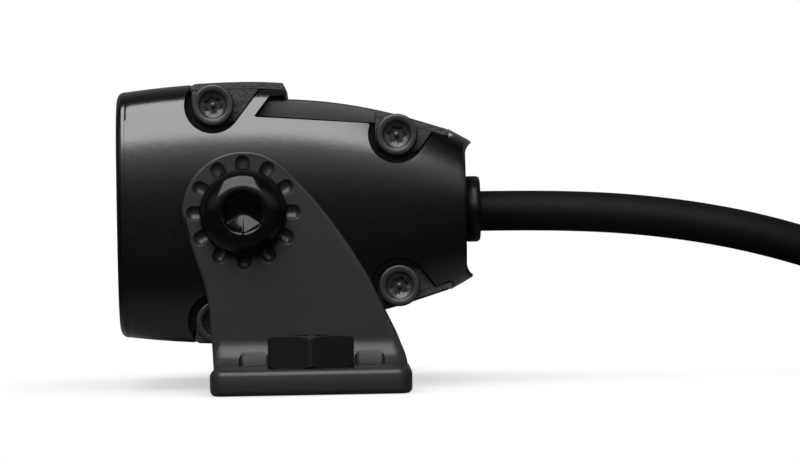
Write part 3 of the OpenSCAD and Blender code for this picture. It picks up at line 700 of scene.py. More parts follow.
@dataclass
class Studio:
    """Camera, overhead softbox and a white surround, in millimetres."""

    eye: tuple[float, float, float] = (720.0, 6.7, 28.6)
    yaw_deg: float = -0.698
    pitch_deg: float = 0.183
    roll_deg: float = -1.037
    focal_mm: float = 184.9
    sensor_mm: float = 36.0
    box_size: tuple[float, float] = (720.0, 620.0)
    box_centre: tuple[float, float, float] = (438.0, -120.0, 528.0)
    box_target: tuple[float, float, float] = (20.0, -120.0, 30.0)
    box_watts: float = 13.0
    floor_side: float = 6000.0
    dark_side: float = 0.012
    white_side: float = 0.2
    horizon: tuple[tuple[float, float], ...] = (
        (0.0, 0.0), (0.04, 0.02), (0.14, 0.5), (0.25, 1.0), (0.4, 1.0), (0.6, 0.0))
    horizon_gain: float = 1.2
    sides_x: tuple[float, float] = (-0.7, 0.3)
    floor_drop: float = 0.05
    floor_greys: tuple[float, float] = (0.16, 0.025)
    floor_fade: tuple[float, float] = (0.045, 0.085)
    # painted floor shadow: how far the ambient occlusion reaches, and its ramp from occlusion to grey
    shadow_reach: float = 45.0
    shadow: tuple[tuple[float, float], ...] = ((0.0, 0.5), (0.85, 1.0))

    def build(self) -> None:
        """Sets up the whole stage."""
        scene = bpy.context.scene
        scene.view_settings.view_transform = "Standard"
        self.place_camera()
        self.hang_softbox()
        self.light_world()
        self.lay_floor()

    def stand(self, data: bpy.types.ID, axes: tuple[Array, Array, Array],
              place: tuple[float, float, float]) -> bpy.types.Object:
        """Stands a view or a lamp in the scene.

        Args:
            data: The camera's or the lamp's own data.
            axes: Its X, Y and Z axes.
            place: Where it stands.

        Returns:
            Its object.
        """
        holder = bpy.data.objects.new(data.name, data)
        matrix = np.eye(4)
        matrix[:3, :3] = np.stack(axes, axis=-1)
        matrix[:3, 3] = np.array(place) * MM
        holder.matrix_world = Matrix(matrix.tolist())
        bpy.context.scene.collection.objects.link(holder)
        return holder

    def place_camera(self) -> None:
        """Puts the view at the object's left, level with the head and turned by small angles."""
        yaw, pitch, roll = (math.radians(v) for v in (self.yaw_deg, self.pitch_deg, self.roll_deg))
        ahead = np.array([-math.cos(pitch) * math.cos(yaw), -math.cos(pitch) * math.sin(yaw),
                          -math.sin(pitch)])
        right = np.cross(ahead, [0, 0, 1])
        right /= np.linalg.norm(right)
        above = np.cross(right, ahead)
        tilted = math.cos(roll) * right + math.sin(roll) * above
        top = math.cos(roll) * above - math.sin(roll) * right
        lens = bpy.data.cameras.new("view")
        lens.lens = self.focal_mm
        lens.sensor_width = self.sensor_mm
        lens.clip_start = 0.01
        bpy.context.scene.camera = self.stand(lens, (tilted, top, -ahead), self.eye)

    def hang_softbox(self) -> None:
        """Hangs the large lamp above the object, towards the viewer, facing the object."""
        lamp = bpy.data.lights.new("softbox", "AREA")
        lamp.shape = "RECTANGLE"
        lamp.size, lamp.size_y = (v * MM for v in self.box_size)
        lamp.energy = self.box_watts
        away = np.array(self.box_centre) - np.array(self.box_target)
        back = away / np.linalg.norm(away)
        across = np.cross([0, 1, 0], back)
        across /= np.linalg.norm(across)
        self.stand(lamp, (across, np.cross(back, across), back), self.box_centre)

    def light_world(self) -> None:
        """White as seen straight or through glass; otherwise dim, with a bright band."""
        nodes = Nodes("studio", world=True)
        place = nodes.add("TexCoord").outputs["Generated"]
        split = nodes.add("SeparateXYZ", {0: place}).outputs
        sides = nodes.range(split["X"], self.white_side, self.dark_side, self.sides_x, "SMOOTHSTEP")
        front = nodes.range(split["X"], 0, self.horizon_gain, span=(0, 1))
        glow = nodes.math("MULTIPLY_ADD", nodes.ramp(split["Z"], self.horizon), front, sides)
        path = nodes.add("LightPath").outputs
        straight = nodes.math("LESS_THAN", path["Diffuse Depth"], 0.5)
        seen = nodes.math("MULTIPLY_ADD", path["Is Transmission Ray"], straight, path["Is Camera Ray"])
        strength = nodes.add("Mix", {"Factor": seen, "A": glow, "B": 1.0})
        light = nodes.add("Background", {
            "Color": rgba((1.0, 1.0, 1.0)), "Strength": strength.outputs["Result"]})
        bpy.context.scene.world = nodes.finished(light)

    def lay_floor(self) -> bpy.types.Object:
        """White floor that shows as the backdrop does, with a painted soft shadow: the camera sees an
        emission whose grey is darkened by ambient occlusion near the object.

        Returns:
            The floor.
        """
        nodes = Nodes("white_floor")
        place = nodes.add("TexCoord").outputs["Object"]
        away = nodes.add("VectorMath", {0: place}, operation="LENGTH").outputs["Value"]
        matte = nodes.add("BsdfDiffuse", {
            "Color": nodes.range(away, *self.floor_greys, self.floor_fade)})
        # painted shadow: ambient occlusion turns the floor's emission, as the camera sees it, from
        # white towards grey near the object
        shade = nodes.add("AmbientOcclusion", {"Distance": self.shadow_reach * MM}, samples=8)
        painted_shadow_tone = nodes.ramp(shade.outputs["AO"], self.shadow)
        glow = nodes.add("Emission", {"Color": painted_shadow_tone, "Strength": 1.0})
        seen = nodes.add("LightPath").outputs["Is Camera Ray"]
        blend = nodes.add("MixShader", {"Fac": seen, 1: matte.outputs[0], 2: glow.outputs[0]})
        half = self.floor_side / 2
        corners = half * np.array([[-1, -1, 0], [1, -1, 0], [1, 1, 0], [-1, 1, 0]], float)
        corners[:, 2] = -self.floor_drop
        return make_object("floor", (corners, [np.array([[0, 1, 2, 3]])]), nodes.finished(blend))


# ---------------------------------------------------------------- head

@dataclass
class HeadForm:
    """Outer form of the head, measured from the tilt axis: Y to the rear, Z up."""

    width: float = 64.0
    half_h: float = 22.2
    front: float = -21.4
    rear: float = 38.6
    front_half_h: float = 20.7
    tail_half_h: float = 11.5
    tail_width: float = 59.0
    flat_power: float = 12.0
    side_power: float = 3.0
    bezel_back: float = -19.9
    rear_face: float = 37.3
    lip_r: float = 2.6
    lip_z: float = 9.0
    cover_back: float = 34.6
    strap_back: float = 7.1
    cover_step: float = 2.7
    calm_z: float = 7.2
    calm: float = 0.35
    crown: float = 0.6

    def skin(self, y: Array) -> Array:
        """Half height: one arc from the front face to the axis, and one from there to the rear.

        Args:
            y: Stations.

        Returns:
            half_h - R + sqrt(R^2 - y^2), R being each arc's radius.
        """
        def radius(reach: float, drop: float) -> float:
            """Radius of the arc that falls by drop over reach."""
            return (reach ** 2 + drop ** 2) / (2 * drop)

        front = radius(self.front, self.half_h - self.front_half_h)
        rear = radius(self.rear, self.half_h - self.tail_half_h)
        r = np.where(y < 0, front, rear)
        return self.half_h - r + np.sqrt(np.maximum(r * r - y * y, 0))

    def half_width(self, y: Array) -> Array:
        """Half width: straight to the axis, then narrowing with the square of y."""
        drop = (self.width - self.tail_width) / 2
        return self.width / 2 - drop * (np.maximum(y, 0) / self.rear) ** 2

    def field(self, y: Array) -> Array:
        """Height of the guards' sunken field, which meets the skin again at its back edge."""
        share = np.maximum(0, self.cover_back - y) / (self.cover_back - self.strap_back)
        return self.skin(y) - self.cover_step * share ** 0.6

    def rear_edge(self, z: Array) -> Array:
        """Where the rear face lies at height z: flat in the middle, curling out to the lips."""
        over = np.clip(np.abs(z) - self.lip_z, 0, 0.97 * self.lip_r)
        return np.minimum(self.rear_face + self.lip_r - np.sqrt(self.lip_r ** 2 - over ** 2), self.rear)

    def top_at(self, x: Array, y: Array) -> Array:
        """Height of the skin above a point: half height times (1 - |x / w|^p)^(1 / q)."""
        share = np.minimum(np.abs(x) / self.half_width(y), 1)
        return self.skin(y) * (1 - share ** self.flat_power) ** (1 / self.side_power)

    def section(self, angle: Array) -> tuple[Array, Array]:
        """Unit section: |cos|^(2 / p), crowned, and |sin|^(2 / q), with their signs.

        Args:
            angle: Where it is read.

        Returns:
            Its X and its Z.
        """
        c, s = np.cos(angle), np.sin(angle)
        height = np.sign(s) * np.abs(s) ** (2 / self.side_power)
        return np.sign(c) * np.abs(c) ** (2 / self.flat_power) * self.crowned(height), height

    def crowned(self, level: Array) -> Array:
        """How far the crown draws the flank in at a share of the half height: 1 - k level^2."""
        return 1 - self.crown / (self.width / 2) * level ** 2

    def columns(self, count: int, flank_x: float, thin: float) -> Array:
        """Angles spread along the section, closest on the flanks' upper and lower parts.

        Args:
            count: How many.
            flank_x: The flanks lie outside this X.
            thin: Density on top; the flanks' is 1, and calm up to calm_z from their middle.

        Returns:
            Angles at equal steps of the weighted length round the section.
        """
        fine = np.linspace(0, FULL_TURN, 40001)
        c, s = self.section(fine)
        x, z = c * self.width / 2, s * self.half_h
        weight = np.where(np.abs(z[1:]) > self.calm_z, 1.0, self.calm)
        weight = np.where(np.abs(x[1:]) > flank_x, weight, thin)
        length = np.concatenate([[0], np.cumsum(np.hypot(np.diff(x), np.diff(z)) * weight)])
        return np.interp(np.arange(count) * length[-1] / count, length, fine)


@dataclass
class Pockets:
    """Outlines of what is sunk into the flanks: two screw pockets and the band between them."""

    slope_deg: float = 37.0
    radius: float = 4.8
    upright: float = 3.9
    front: tuple[float, float] = (-5.0, 18.2)
    rear: tuple[float, float] = (25.8, 12.7)
    band_front: tuple[float, float] = (1.9, 16.1)
    band_back: tuple[float, float] = (23.8, 14.5)
    shoulder_z: float = 19.6
    band_open: float = 7.3

    def pocket(self, y: Array, z: Array, centre: tuple[float, float]) -> Array:
        """Signed distance to a pocket: a circle, open upwards between an upright and a slope.

        Args:
            y: Stations.
            z: Heights.
            centre: The screw's place.

        Returns:
            The least of the circle's distance and that of the wedge above it.
        """
        dy, dz = y - centre[0], z - centre[1]
        lean = math.radians(self.slope_deg)
        below = -math.sin(lean) * dy - (1 + math.cos(lean)) * dz - self.radius * math.sin(lean)
        below /= math.hypot(math.sin(lean), 1 + math.cos(lean))
        slope = dy * math.cos(lean) - dz * math.sin(lean) - self.radius
        wedge = np.maximum(np.maximum(-dy - self.upright, slope), np.minimum(below, -dz))
        return np.minimum(np.hypot(dy, dz) - self.radius, wedge)

    def band(self, y: Array, z: Array) -> Array:
        """Signed distance to the band: a foot line, a leaning front and a short shoulder.

        Args:
            y: Stations.
            z: Heights.

        Returns:
            The greatest of the distances to the band's four sides.
        """
        (y0, z0), (y1, z1) = self.band_front, self.band_back
        along = np.array([y1 - y0, z1 - z0]) / math.hypot(y1 - y0, z1 - z0)
        foot = (z0 - z) * along[0] + (y - y0) * along[1]
        lean = math.radians(self.slope_deg)
        leaning = -((y - y0) * math.cos(lean) - (z - z0) * math.sin(lean))
        shoulder = np.minimum(z - self.shoulder_z, self.band_open - y)
        return np.maximum(np.maximum(foot, leaning), np.maximum(y - y1, shoulder))

    def distance(self, y: Array, z: Array) -> Array:
        """Signed distance to the nearest sunken outline, below the axis as above it.

        Args:
            y: Stations.
            z: Heights.

        Returns:
            The least of the two pockets' and the band's distances, read at |z|.
        """
        up = np.abs(z)
        pockets = np.minimum(self.pocket(y, up, self.front), self.pocket(y, up, self.rear))
        return np.minimum(pockets, self.band(y, up))


@dataclass
class HeadCasting:
    """Cast body of the head: an open-fronted box with sunken pockets and side bosses."""

    form: HeadForm
    pockets: Pockets
    rows: tuple[int, int, int] = (10, 162, 5)
    busy: tuple[float, float] = (0.16, 0.95)
    columns: int = 500
    floor_x: float = 24.45
    pull: float = 0.3
    side_pull: float = 0.12
    wall: float = 0.04
    spread: float = 0.08
    top_share: tuple[float, float] = (0.95, 0.985)
    rim_edge: float = 0.3
    seat: tuple[float, float] = (23.55, 16.55)
    cavity: tuple[float, float] = (20.5, 13.5)
    seat_back: float = -16.9
    cavity_back: float = 19.0
    guard_half_w: float = 27.2
    guard_front: float = -9.05
    guard_gap: float = 0.05
    riser_room: float = 0.3
    field_seat: float = 1.45
    boss_r: float = 8.8
    boss_out: float = 33.0

    def beside(self, value: Array, place: float, reach: float) -> Array:
        """Moves values near a place to either side of it, so that a step there stays crisp.

        Args:
            value: Stations or distances from the middle plane.
            place: Where the step is.
            reach: How near a value has to be.

        Returns:
            The values, each nearer one put wall + spread |off| from the place on its own side,
            off being how far it lay from it.
        """
        off = value - place
        drawn = place + np.sign(off) * (self.wall + self.spread * np.abs(off))
        return np.where(np.abs(off) < reach, drawn, value)

    def drawn_to_walls(self, y: Array, z: Array) -> tuple[Array, Array]:
        """Moves grid points near a pocket's wall onto it, so that the wall stays crisp.

        A point at distance d, |d| < pull, moves along the distance's slope to wall + spread |d|
        on its own side. Near the top edge it moves in Y only.

        Args:
            y: Stations of the grid.
            z: Heights of the grid.

        Returns:
            The new stations and heights.
        """
        step, least_slope = 0.02, 0.3
        distance = self.pockets.distance
        d = distance(y, z)
        slope_y = (distance(y + step, z) - distance(y - step, z)) / (2 * step)
        slope_z = (distance(y, z + step) - distance(y, z - step)) / (2 * step)
        shift = d - self.beside(d, 0, self.pull)
        top = ease(np.abs(z) / self.form.skin(y), *self.top_share)
        steep = np.abs(slope_y) > least_slope
        only_y = np.where(steep, 1 / np.where(steep, slope_y, 1), 0)
        new_y = y - shift * ((1 - top) * slope_y + top * only_y)
        new_z = z - shift * slope_z * (1 - top)
        return new_y, new_z

    def drawn_to_ends(self, y: Array) -> Array:
        """Moves stations near an end of the guards' seat onto it, so that the end stays crisp."""
        y = self.beside(y, self.guard_front, self.pull)
        return self.beside(y, self.form.cover_back + self.guard_gap, self.pull)

    def skin_rings(self, angle: Array) -> tuple[Array, Array]:
        """The outside, from the front edge to the rear rim, with everything sunk into it.

        Args:
            angle: The section's columns.

        Returns:
            Points as (ring, column, 3), and which of them are sunk.
        """
        c, s = self.form.section(angle)
        z_end = self.form.tail_half_h * s
        rear = self.form.rear_edge(np.abs(z_end) - self.rim_edge) - self.rim_edge
        share = np.concatenate([
            np.linspace(0, self.busy[0], self.rows[0], endpoint=False),
            np.linspace(*self.busy, self.rows[1], endpoint=False),
            np.linspace(self.busy[1], 1, self.rows[2])])[:, None]
        y = self.form.bezel_back + share * (rear[None] - self.form.bezel_back)
        z = self.form.skin(y) * s
        new_y, new_z = self.drawn_to_walls(y, z)
        on_side = np.abs(s) < self.top_share[1]
        y = np.where(on_side & (new_y != y), new_y, self.drawn_to_ends(y))
        y[[0, -1]] = (self.form.bezel_back + 0 * rear, rear)
        level = np.clip(np.abs(new_z) / self.form.skin(y), 0, 1)
        level = np.where(on_side, level, np.abs(s))
        width = (1 - level ** self.form.side_power) ** (1 / self.form.flat_power)
        width = width * self.form.crowned(level)
        x = self.form.half_width(y) * np.where(on_side, width, np.abs(c))
        z = self.form.skin(y) * level * np.sign(s)
        d = self.pockets.distance(y, z)
        x = np.where((d < 0) & (x > self.floor_x), self.floor_x, x)
        x, lowered = self.room_for_guards(x, y, z)
        sunk = (np.abs(x - self.floor_x) < 1e-6) | (lowered != z)
        return np.stack([x * np.sign(c), y, lowered], axis=-1), sunk

    def room_for_guards(self, x: Array, y: Array, z: Array) -> tuple[Array, Array]:
        """Sinks the top and bottom to the seats of the guard plates.

        Args:
            x: Distance from the middle plane.
            y: Stations.
            z: Heights.

        Returns:
            The heights lowered to the seat under each guard, and x kept inside the open pockets.
        """
        under_strap = self.pockets.shoulder_z + self.guard_gap
        under_field = self.form.field(y) - self.field_seat
        low = np.where(y < self.form.strap_back - self.riser_room, under_strap, under_field)
        inside = (y > self.guard_front) & (y < self.form.cover_back + self.guard_gap)
        x = np.where(inside, self.beside(x, self.guard_half_w, self.side_pull), x)
        under = inside & (x < self.guard_half_w)
        lowered = np.where(under, np.sign(z) * np.minimum(np.abs(z), low), z)
        open_below = under & (self.pockets.distance(y, lowered) < 0)
        return np.where(open_below, np.minimum(x, self.floor_x), x), lowered

    def shell(self) -> Shell:
        """The casting as one closed surface.

        It runs from the middle of the cavity's back wall forward along the cavity, out over the
        glass seat, back along the skin, round the rear rim and in to the middle of the rear face.

        Returns:
            The casting, without its bosses.
        """
        angle = self.form.columns(self.columns, self.floor_x - 1, 0.15)
        c, s = self.form.section(angle)
        steps = [
            (*self.cavity, self.cavity_back), (*self.cavity, self.seat_back),
            (*self.seat, self.seat_back), (*self.seat, self.form.bezel_back)]
        inner = np.array([np.stack([w * c, np.full_like(c, y), h * s], -1) for w, h, y in steps])
        skin, skin_sunk = self.skin_rings(angle)
        edge = skin[:1].copy()
        edge[0, :, [0, 2]] *= 0.9992
        skin[0, :, 1] += 0.03
        drawn, along = rounded_end(self.rim_edge, 4)
        width = self.form.half_width(skin[-1, :, 1])
        height = np.abs(skin[-1, :, 2]).max()
        rim = np.stack([
            (width - drawn[1:, None]) * c, skin[-1, :, 1] + along[1:, None],
            (height - drawn[1:, None]) * s], axis=-1)
        shrink = np.array([0.985, 0.96, 0.93, 0.9, 0.87, 0.84, 0.8, 0.7, 0.5, 0.25])[:, None]
        back = np.stack([shrink * rim[-1, :, 0], self.form.rear_edge(shrink * rim[-1, :, 2]),
                         shrink * rim[-1, :, 2]], axis=-1)
        rings = np.concatenate([inner, edge, skin, rim, back])
        shell = loft(rings, (0, self.cavity_back, 0), (0, self.form.rear_face, 0))
        first = (len(inner) + len(edge)) * len(angle)
        sunk = np.zeros(len(shell[0]), bool)
        sunk[first:first + skin_sunk.size] = skin_sunk.ravel()
        return self.split_at_walls(shell, sunk)

    def split_at_walls(self, shell: Shell, sunk: Array) -> Shell:
        """Splits each quad that has one corner over or under a wall's edge beside that corner.

        Args:
            shell: The casting, its quads first.
            sunk: Which of its points are sunk.

        Returns:
            The same points; such quads as the triangle at the odd corner and the one beyond.
        """
        points, (quads, *rest) = shell
        corners = sunk[quads]
        count = corners.sum(axis=1)
        odd = np.where(count == 1, corners.argmax(axis=1), (~corners).argmax(axis=1))
        single = (count == 1) | (count == 3)
        turned = np.take_along_axis(quads, (odd[:, None] + np.arange(4)) % 4, axis=1)[single]
        return points, [quads[~single], turned[:, [0, 1, 3]], turned[:, [1, 2, 3]], *rest]

    def boss(self) -> Shell:
        """Round boss on the +X flank, which the arm's washer bears on.

        Returns:
            A turned profile, from inside the flank out to its face.
        """
        r, out = self.boss_r, self.boss_out
        profile = [(0, out - 5), (r + 0.9, out - 5), (r + 0.9, out - 1.3), (r + 0.4, out - 1.1),
                   (r, out - 0.8), (r, out - 0.25), (r - 0.07, out - 0.07), (r - 0.25, out), (0, out)]
        return turned_to_x(revolved(profile))

    def build(self) -> None:
        """Makes the casting and dresses it."""
        boss = self.boss()
        head_piece("head_casting", joined([self.shell(), boss, mirrored(boss)]), POWDER_COAT,
                   "housing", sharp_deg=40)


@dataclass
class WindowBezel:
    """Frame round the window, with a round outer edge, sunk where its screws are."""

    form: HeadForm
    columns: int = 480
    edge: float = 1.25
    window: tuple[float, float] = (21.5, 14.5)
    window_power: float = 8.0
    lip: float = 0.35
    screw: tuple[float, float] = (27.55, 12.9)
    screw_r: float = 2.3
    screw_edge: float = 0.15
    screw_deep: float = 1.25
    join: float = 0.03
    face_rings: int = 40

    def window_ring(self, angle: Array, grow: float) -> tuple[Array, Array]:
        """The window's outline, grown outward: a superellipse of window_power.

        Args:
            angle: Where it is read.
            grow: How far it is grown.

        Returns:
            Its X and its Z.
        """
        power = 2 / self.window_power
        c, s = np.cos(angle), np.sin(angle)
        return ((self.window[0] + grow) * np.sign(c) * np.abs(c) ** power,
                (self.window[1] + grow) * np.sign(s) * np.abs(s) ** power)

    def build(self) -> None:
        """Makes the bezel: back edge, round outer edge, front face, window lip and back again."""
        angle = self.form.columns(self.columns, 20, 0.8)
        c, s = self.form.section(angle)
        back = self.form.bezel_back
        w, h = self.form.width / 2, self.form.skin(np.array([back]))[0]
        drawn, along = rounded_end(self.edge, 8)
        y = np.concatenate([[back, back - self.join], self.form.front + self.edge - along])
        inset = np.concatenate([[self.join, 0.0], drawn])
        outer = np.stack([(w - inset[:, None]) * c, np.broadcast_to(y[:, None], (len(y), len(c))),
                          (h - inset[:, None]) * s], axis=-1)
        rim_x, rim_z = outer[-1, :, 0], outer[-1, :, 2]
        lip_x, lip_z = self.window_ring(angle, self.lip)
        share = np.linspace(0, 1, self.face_rings)[1:, None]
        face_x, face_z = rim_x + (lip_x - rim_x) * share, rim_z + (lip_z - rim_z) * share
        from_screw = np.hypot(np.abs(face_x) - self.screw[0], np.abs(face_z) - self.screw[1])
        rim = (self.screw_r - self.screw_edge, self.screw_r + self.screw_edge)
        sunk = self.screw_deep * (1 - ease(from_screw, *rim))
        face = np.stack([face_x, self.form.front + sunk, face_z], axis=-1)
        in_x, in_z = self.window_ring(angle, 0)
        inner = np.array([np.stack([in_x, np.full_like(in_x, level), in_z], -1)
                          for level in (self.form.front + self.lip, back)])
        shell = outward(loft(np.concatenate([outer, face, inner]), looped=True))
        head_piece("window_bezel", shell, POWDER_COAT, "front_bezel", 40)


@dataclass
class GuardPlates:
    """Textured plates over and under the head, each with a strap, a field and four lugs."""

    form: HeadForm
    pockets: Pockets
    half_w: float = 27.0
    lug_out: float = 26.9
    wall_out: float = 27.08
    lug_in: float = 24.5
    lug_r: float = 3.65
    strap_front: float = -8.75
    thick: float = 1.4
    riser: float = 0.4
    under_skin: float = 0.005
    edge: float = 0.3
    gap: float = 0.2
    flatter: float = 0.86
    overlap: float = 0.35
    stations: tuple[int, int, int] = (24, 9, 44)
    across: int = 70

    def top_height(self, x: Array, y: Array) -> Array:
        """Outer surface: the skin's height at flatter times x, less the step that the riser eases in.

        Args:
            x: Distance from the middle plane.
            y: Stations.

        Returns:
            Height above the axis.
        """
        sunk = self.form.skin(y) - self.form.field(y)
        step = ease(y, self.form.strap_back - self.riser, self.form.strap_back)
        return self.form.top_at(self.flatter * x, y) - self.under_skin - sunk * step

    def plate(self) -> Shell:
        """The bent plate: rings of a rounded cross-section, carried back along the head.

        Returns:
            The upper plate, without its lugs.
        """
        back = self.form.strap_back
        ends = ((self.strap_front, back - self.riser - 0.1), (back - self.riser, back),
                (back + 0.3, self.form.cover_back))
        stations = np.concatenate([np.linspace(*e, n) for e, n in zip(ends, self.stations)])
        half = self.half_w - self.edge
        across = np.linspace(half, -half, self.across)
        x = np.concatenate([across, across[::-1]])
        low = np.repeat([0.0, 1.0], self.across)
        y = stations[:, None] + 0 * x
        ends = np.minimum(stations - stations[0], stations[-1] - stations)[:, None]
        pinch = self.edge * (1 - np.sqrt(1 - (1 - np.clip(ends / self.edge, 0, 1)) ** 2))
        rim = np.clip((np.abs(x) - half + self.edge) / self.edge, 0, 1)
        pinch = np.maximum(pinch, self.edge * (1 - np.sqrt(1 - rim ** 2)))
        top = self.top_height(x + 0 * y, y)
        z = top - pinch + low * (2 * pinch - self.thick)
        return capped(np.stack([np.sign(x) * (np.abs(x) + self.edge * rim) + 0 * y, y, z], axis=-1))

    def under_plate(self, y: Array) -> Array:
        """Height just under the plate's edge, where the side walls end."""
        return self.top_height(np.full_like(y, self.half_w), y) - self.overlap

    def lug_outline(self, centre: tuple[float, float]) -> Array:
        """Outline of a lug: round under its screw, upright in front and sloping behind.

        The slope meets the plate where y = (top(y) - z) tan(lean) + wall / cos(lean), which a few
        rounds of putting y back in settle.

        Args:
            centre: The screw's place.

        Returns:
            Closed outline as (Y, Z), counter-clockwise.
        """
        lean = math.radians(self.pockets.slope_deg)
        wall = self.pockets.radius - self.gap
        reach = np.array([centre[0]])
        for _ in range(8):
            rise = self.under_plate(reach) - centre[1]
            reach = centre[0] + rise * math.tan(lean) + wall / math.cos(lean)
        low = arc(centre, self.lug_r, 180, 285, 30)
        slope = [[centre[0] + wall * math.cos(lean), centre[1] - wall * math.sin(lean)]]
        stations = np.linspace(reach[0], centre[0] - self.lug_r, 24)
        top = np.stack([stations, self.under_plate(stations)], -1)
        return even(np.vstack([low, slope, top]), 0.6)

    def lugs(self) -> list[Shell]:
        """Both lugs of the +X side."""
        outlines = [self.lug_outline(self.pockets.front), self.lug_outline(self.pockets.rear)]
        return [turned_to_x(rounded_prism(o, self.lug_in, self.lug_out, 0.22)) for o in outlines]

    def band_wall(self) -> Shell:
        """Smooth upright wall of the band on the +X side.

        Returns:
            The band's outline, gap inside its pocket, from lug_in out to wall_out.
        """
        (y0, z0), (_, z1) = self.pockets.band_front, self.pockets.band_back
        y1 = self.pockets.rear[0] - self.lug_r + 0.1
        stations = np.linspace(y1, self.form.strap_back + 0.05, 20)
        height = self.under_plate(stations) + 0.1
        lean = math.tan(math.radians(self.pockets.slope_deg))
        outline = np.vstack([
            [[y0 + self.gap, z0 + self.gap], [y1, z1 + self.gap]],
            np.stack([stations, height], -1),
            [[y0 + self.gap + (height[-1] - z0 - self.gap) * lean, height[-1]]]])
        return turned_to_x(rounded_prism(even(outline, 0.8), self.lug_in, self.wall_out, 0.1))

    def build(self) -> None:
        """Makes the upper plate, and the lower one as its mirror image, with smooth band walls."""
        cast, smooth = TEXTURED_CAST.material(), BAND_COAT.material()
        side, wall = self.lugs(), self.band_wall()
        plate = joined([self.plate(), *side, *(mirrored(lug) for lug in side)])
        upper = joined([plate, wall, mirrored(wall)])
        from_wall = sum(len(part) for part in plate[1])
        shells = {"upper_guard": upper, "lower_guard": mirrored(upper, axis=2)}
        for (name, shell), node in zip(shells.items(), ("top_cover", "bottom_cover")):
            piece = make_object(name, moved(shell, TILT_AXIS), cast)
            piece.data.materials.append(smooth)
            index = (np.arange(len(piece.data.polygons)) >= from_wall).astype(np.int32)
            piece.data.polygons.foreach_set("material_index", index)
            settle(piece, Body.HEAD, node)


@dataclass
class GuardScrews:
    """Tamper-proof screws: a dished head with a six-lobed socket and a pin in its middle."""

    pockets: Pockets
    seat_x: float = 27.0
    head_r: float = 3.5
    head_h: float = 2.8
    edge: float = 0.32
    dish_r: float = 2.35
    dish_deep: float = 0.55
    lobe_r: float = 1.3
    lobe: float = 0.2
    socket_h: float = 1.3
    pin_r: float = 0.45
    pin_h: float = 2.1

    def one(self, turn: float) -> Shell:
        """One screw along the third axis, its lobes turned by an angle.

        Args:
            turn: The socket's angle.

        Returns:
            The head, from the pin's tip out over its face and down to its seat.
        """
        a = ring_angles(96)
        lobed = self.lobe_r + self.lobe * np.cos(6 * (a - turn))
        drawn, along = rounded_end(self.edge, 6)
        floor = self.head_h - self.dish_deep
        radii = [0.6 * self.pin_r, self.pin_r, self.pin_r, lobed, lobed, lobed + 0.12,
                 self.dish_r - 0.35, self.dish_r - 0.12, self.dish_r, self.dish_r + 0.12]
        heights = [self.pin_h, self.pin_h - 0.12, self.socket_h, self.socket_h, floor - 0.1, floor,
                   floor + 0.08, floor + 0.25, self.head_h - 0.06, self.head_h]
        radii += list(self.head_r - drawn[::-1]) + [self.head_r, self.head_r - 0.2]
        heights += list(self.head_h - self.edge + along[::-1]) + [0.15, 0.0]
        r = np.stack([np.broadcast_to(value, a.shape) for value in radii])
        return loft(polar(r, np.array(heights), a), (0, 0, self.pin_h), (0, 0, 0))

    def build(self) -> None:
        """Makes the eight screws as one piece, each turned its own way."""
        shells = []
        turns = np.random.default_rng(7).uniform(0, math.pi / 3, 4)
        places = [(y, sz * z) for sz in (1, -1) for y, z in (self.pockets.front, self.pockets.rear)]
        for (y, z), turn in zip(places, turns):
            screw = moved(turned_to_x(self.one(turn)), (self.seat_x, y, z))
            shells += [screw, mirrored(screw)]
        head_piece("guard_screws", joined(shells), BLACK_OXIDE,
                   "cover_screws", sharp_deg=38)


@dataclass
class TiltBolts:
    """Domed bolts with hex sockets on the tilt axis."""

    seat_x: float = 37.2
    head_r: float = 7.35
    head_h: float = 4.5
    edge_h: float = 0.9
    rim_r: float = 3.85
    socket_flats: float = 6.0
    socket_deep: float = 2.9
    shank_r: float = 3.95
    shank_l: float = 13.4

    def one(self) -> Shell:
        """The +X bolt along the third axis: socket, rim, dome, edge, underside and shank.

        Returns:
            Rings round the axis, six-sided in the socket; the dome is a quarter of an ellipse.
        """
        a = ring_angles(144)
        hexed = hexagon(a - math.pi / 2, self.socket_flats, 120)
        entry = self.rim_r - 0.42
        dome = np.linspace(math.pi / 2, 0, 22)
        run, rise = self.head_r - self.rim_r, self.head_h - self.edge_h
        deep = self.head_h - self.socket_deep
        radii = [0.5 + 0 * a, hexed - 0.15, hexed, hexed, np.maximum(hexed, entry - 0.12),
                 entry + 0 * a + 0.1, self.rim_r - 0.12 + 0 * a]
        heights = [deep - 0.35, deep - 0.02, deep + 0.12, self.head_h - 0.55,
                   self.head_h - 0.2, self.head_h - 0.02, self.head_h]
        radii += [self.rim_r + run * math.cos(t) + 0 * a for t in dome]
        heights += [self.edge_h + rise * math.sin(t) for t in dome]
        radii += [v + 0 * a for v in (self.head_r, self.head_r - 0.25, self.shank_r, self.shank_r)]
        heights += [0.25, 0.0, 0.0, -self.shank_l]
        rings = polar(np.stack(radii), np.array(heights), a)
        return loft(rings, (0, 0, deep - 0.5), (0, 0, -self.shank_l))

    def build(self) -> None:
        """Makes both bolts as one piece."""
        bolt = moved(turned_to_x(self.one()), (self.seat_x, 0, 0))
        head_piece("tilt_bolts", joined([bolt, mirrored(bolt)]), GLOSS_BLACK,
                   "pivot_bolts", sharp_deg=38)


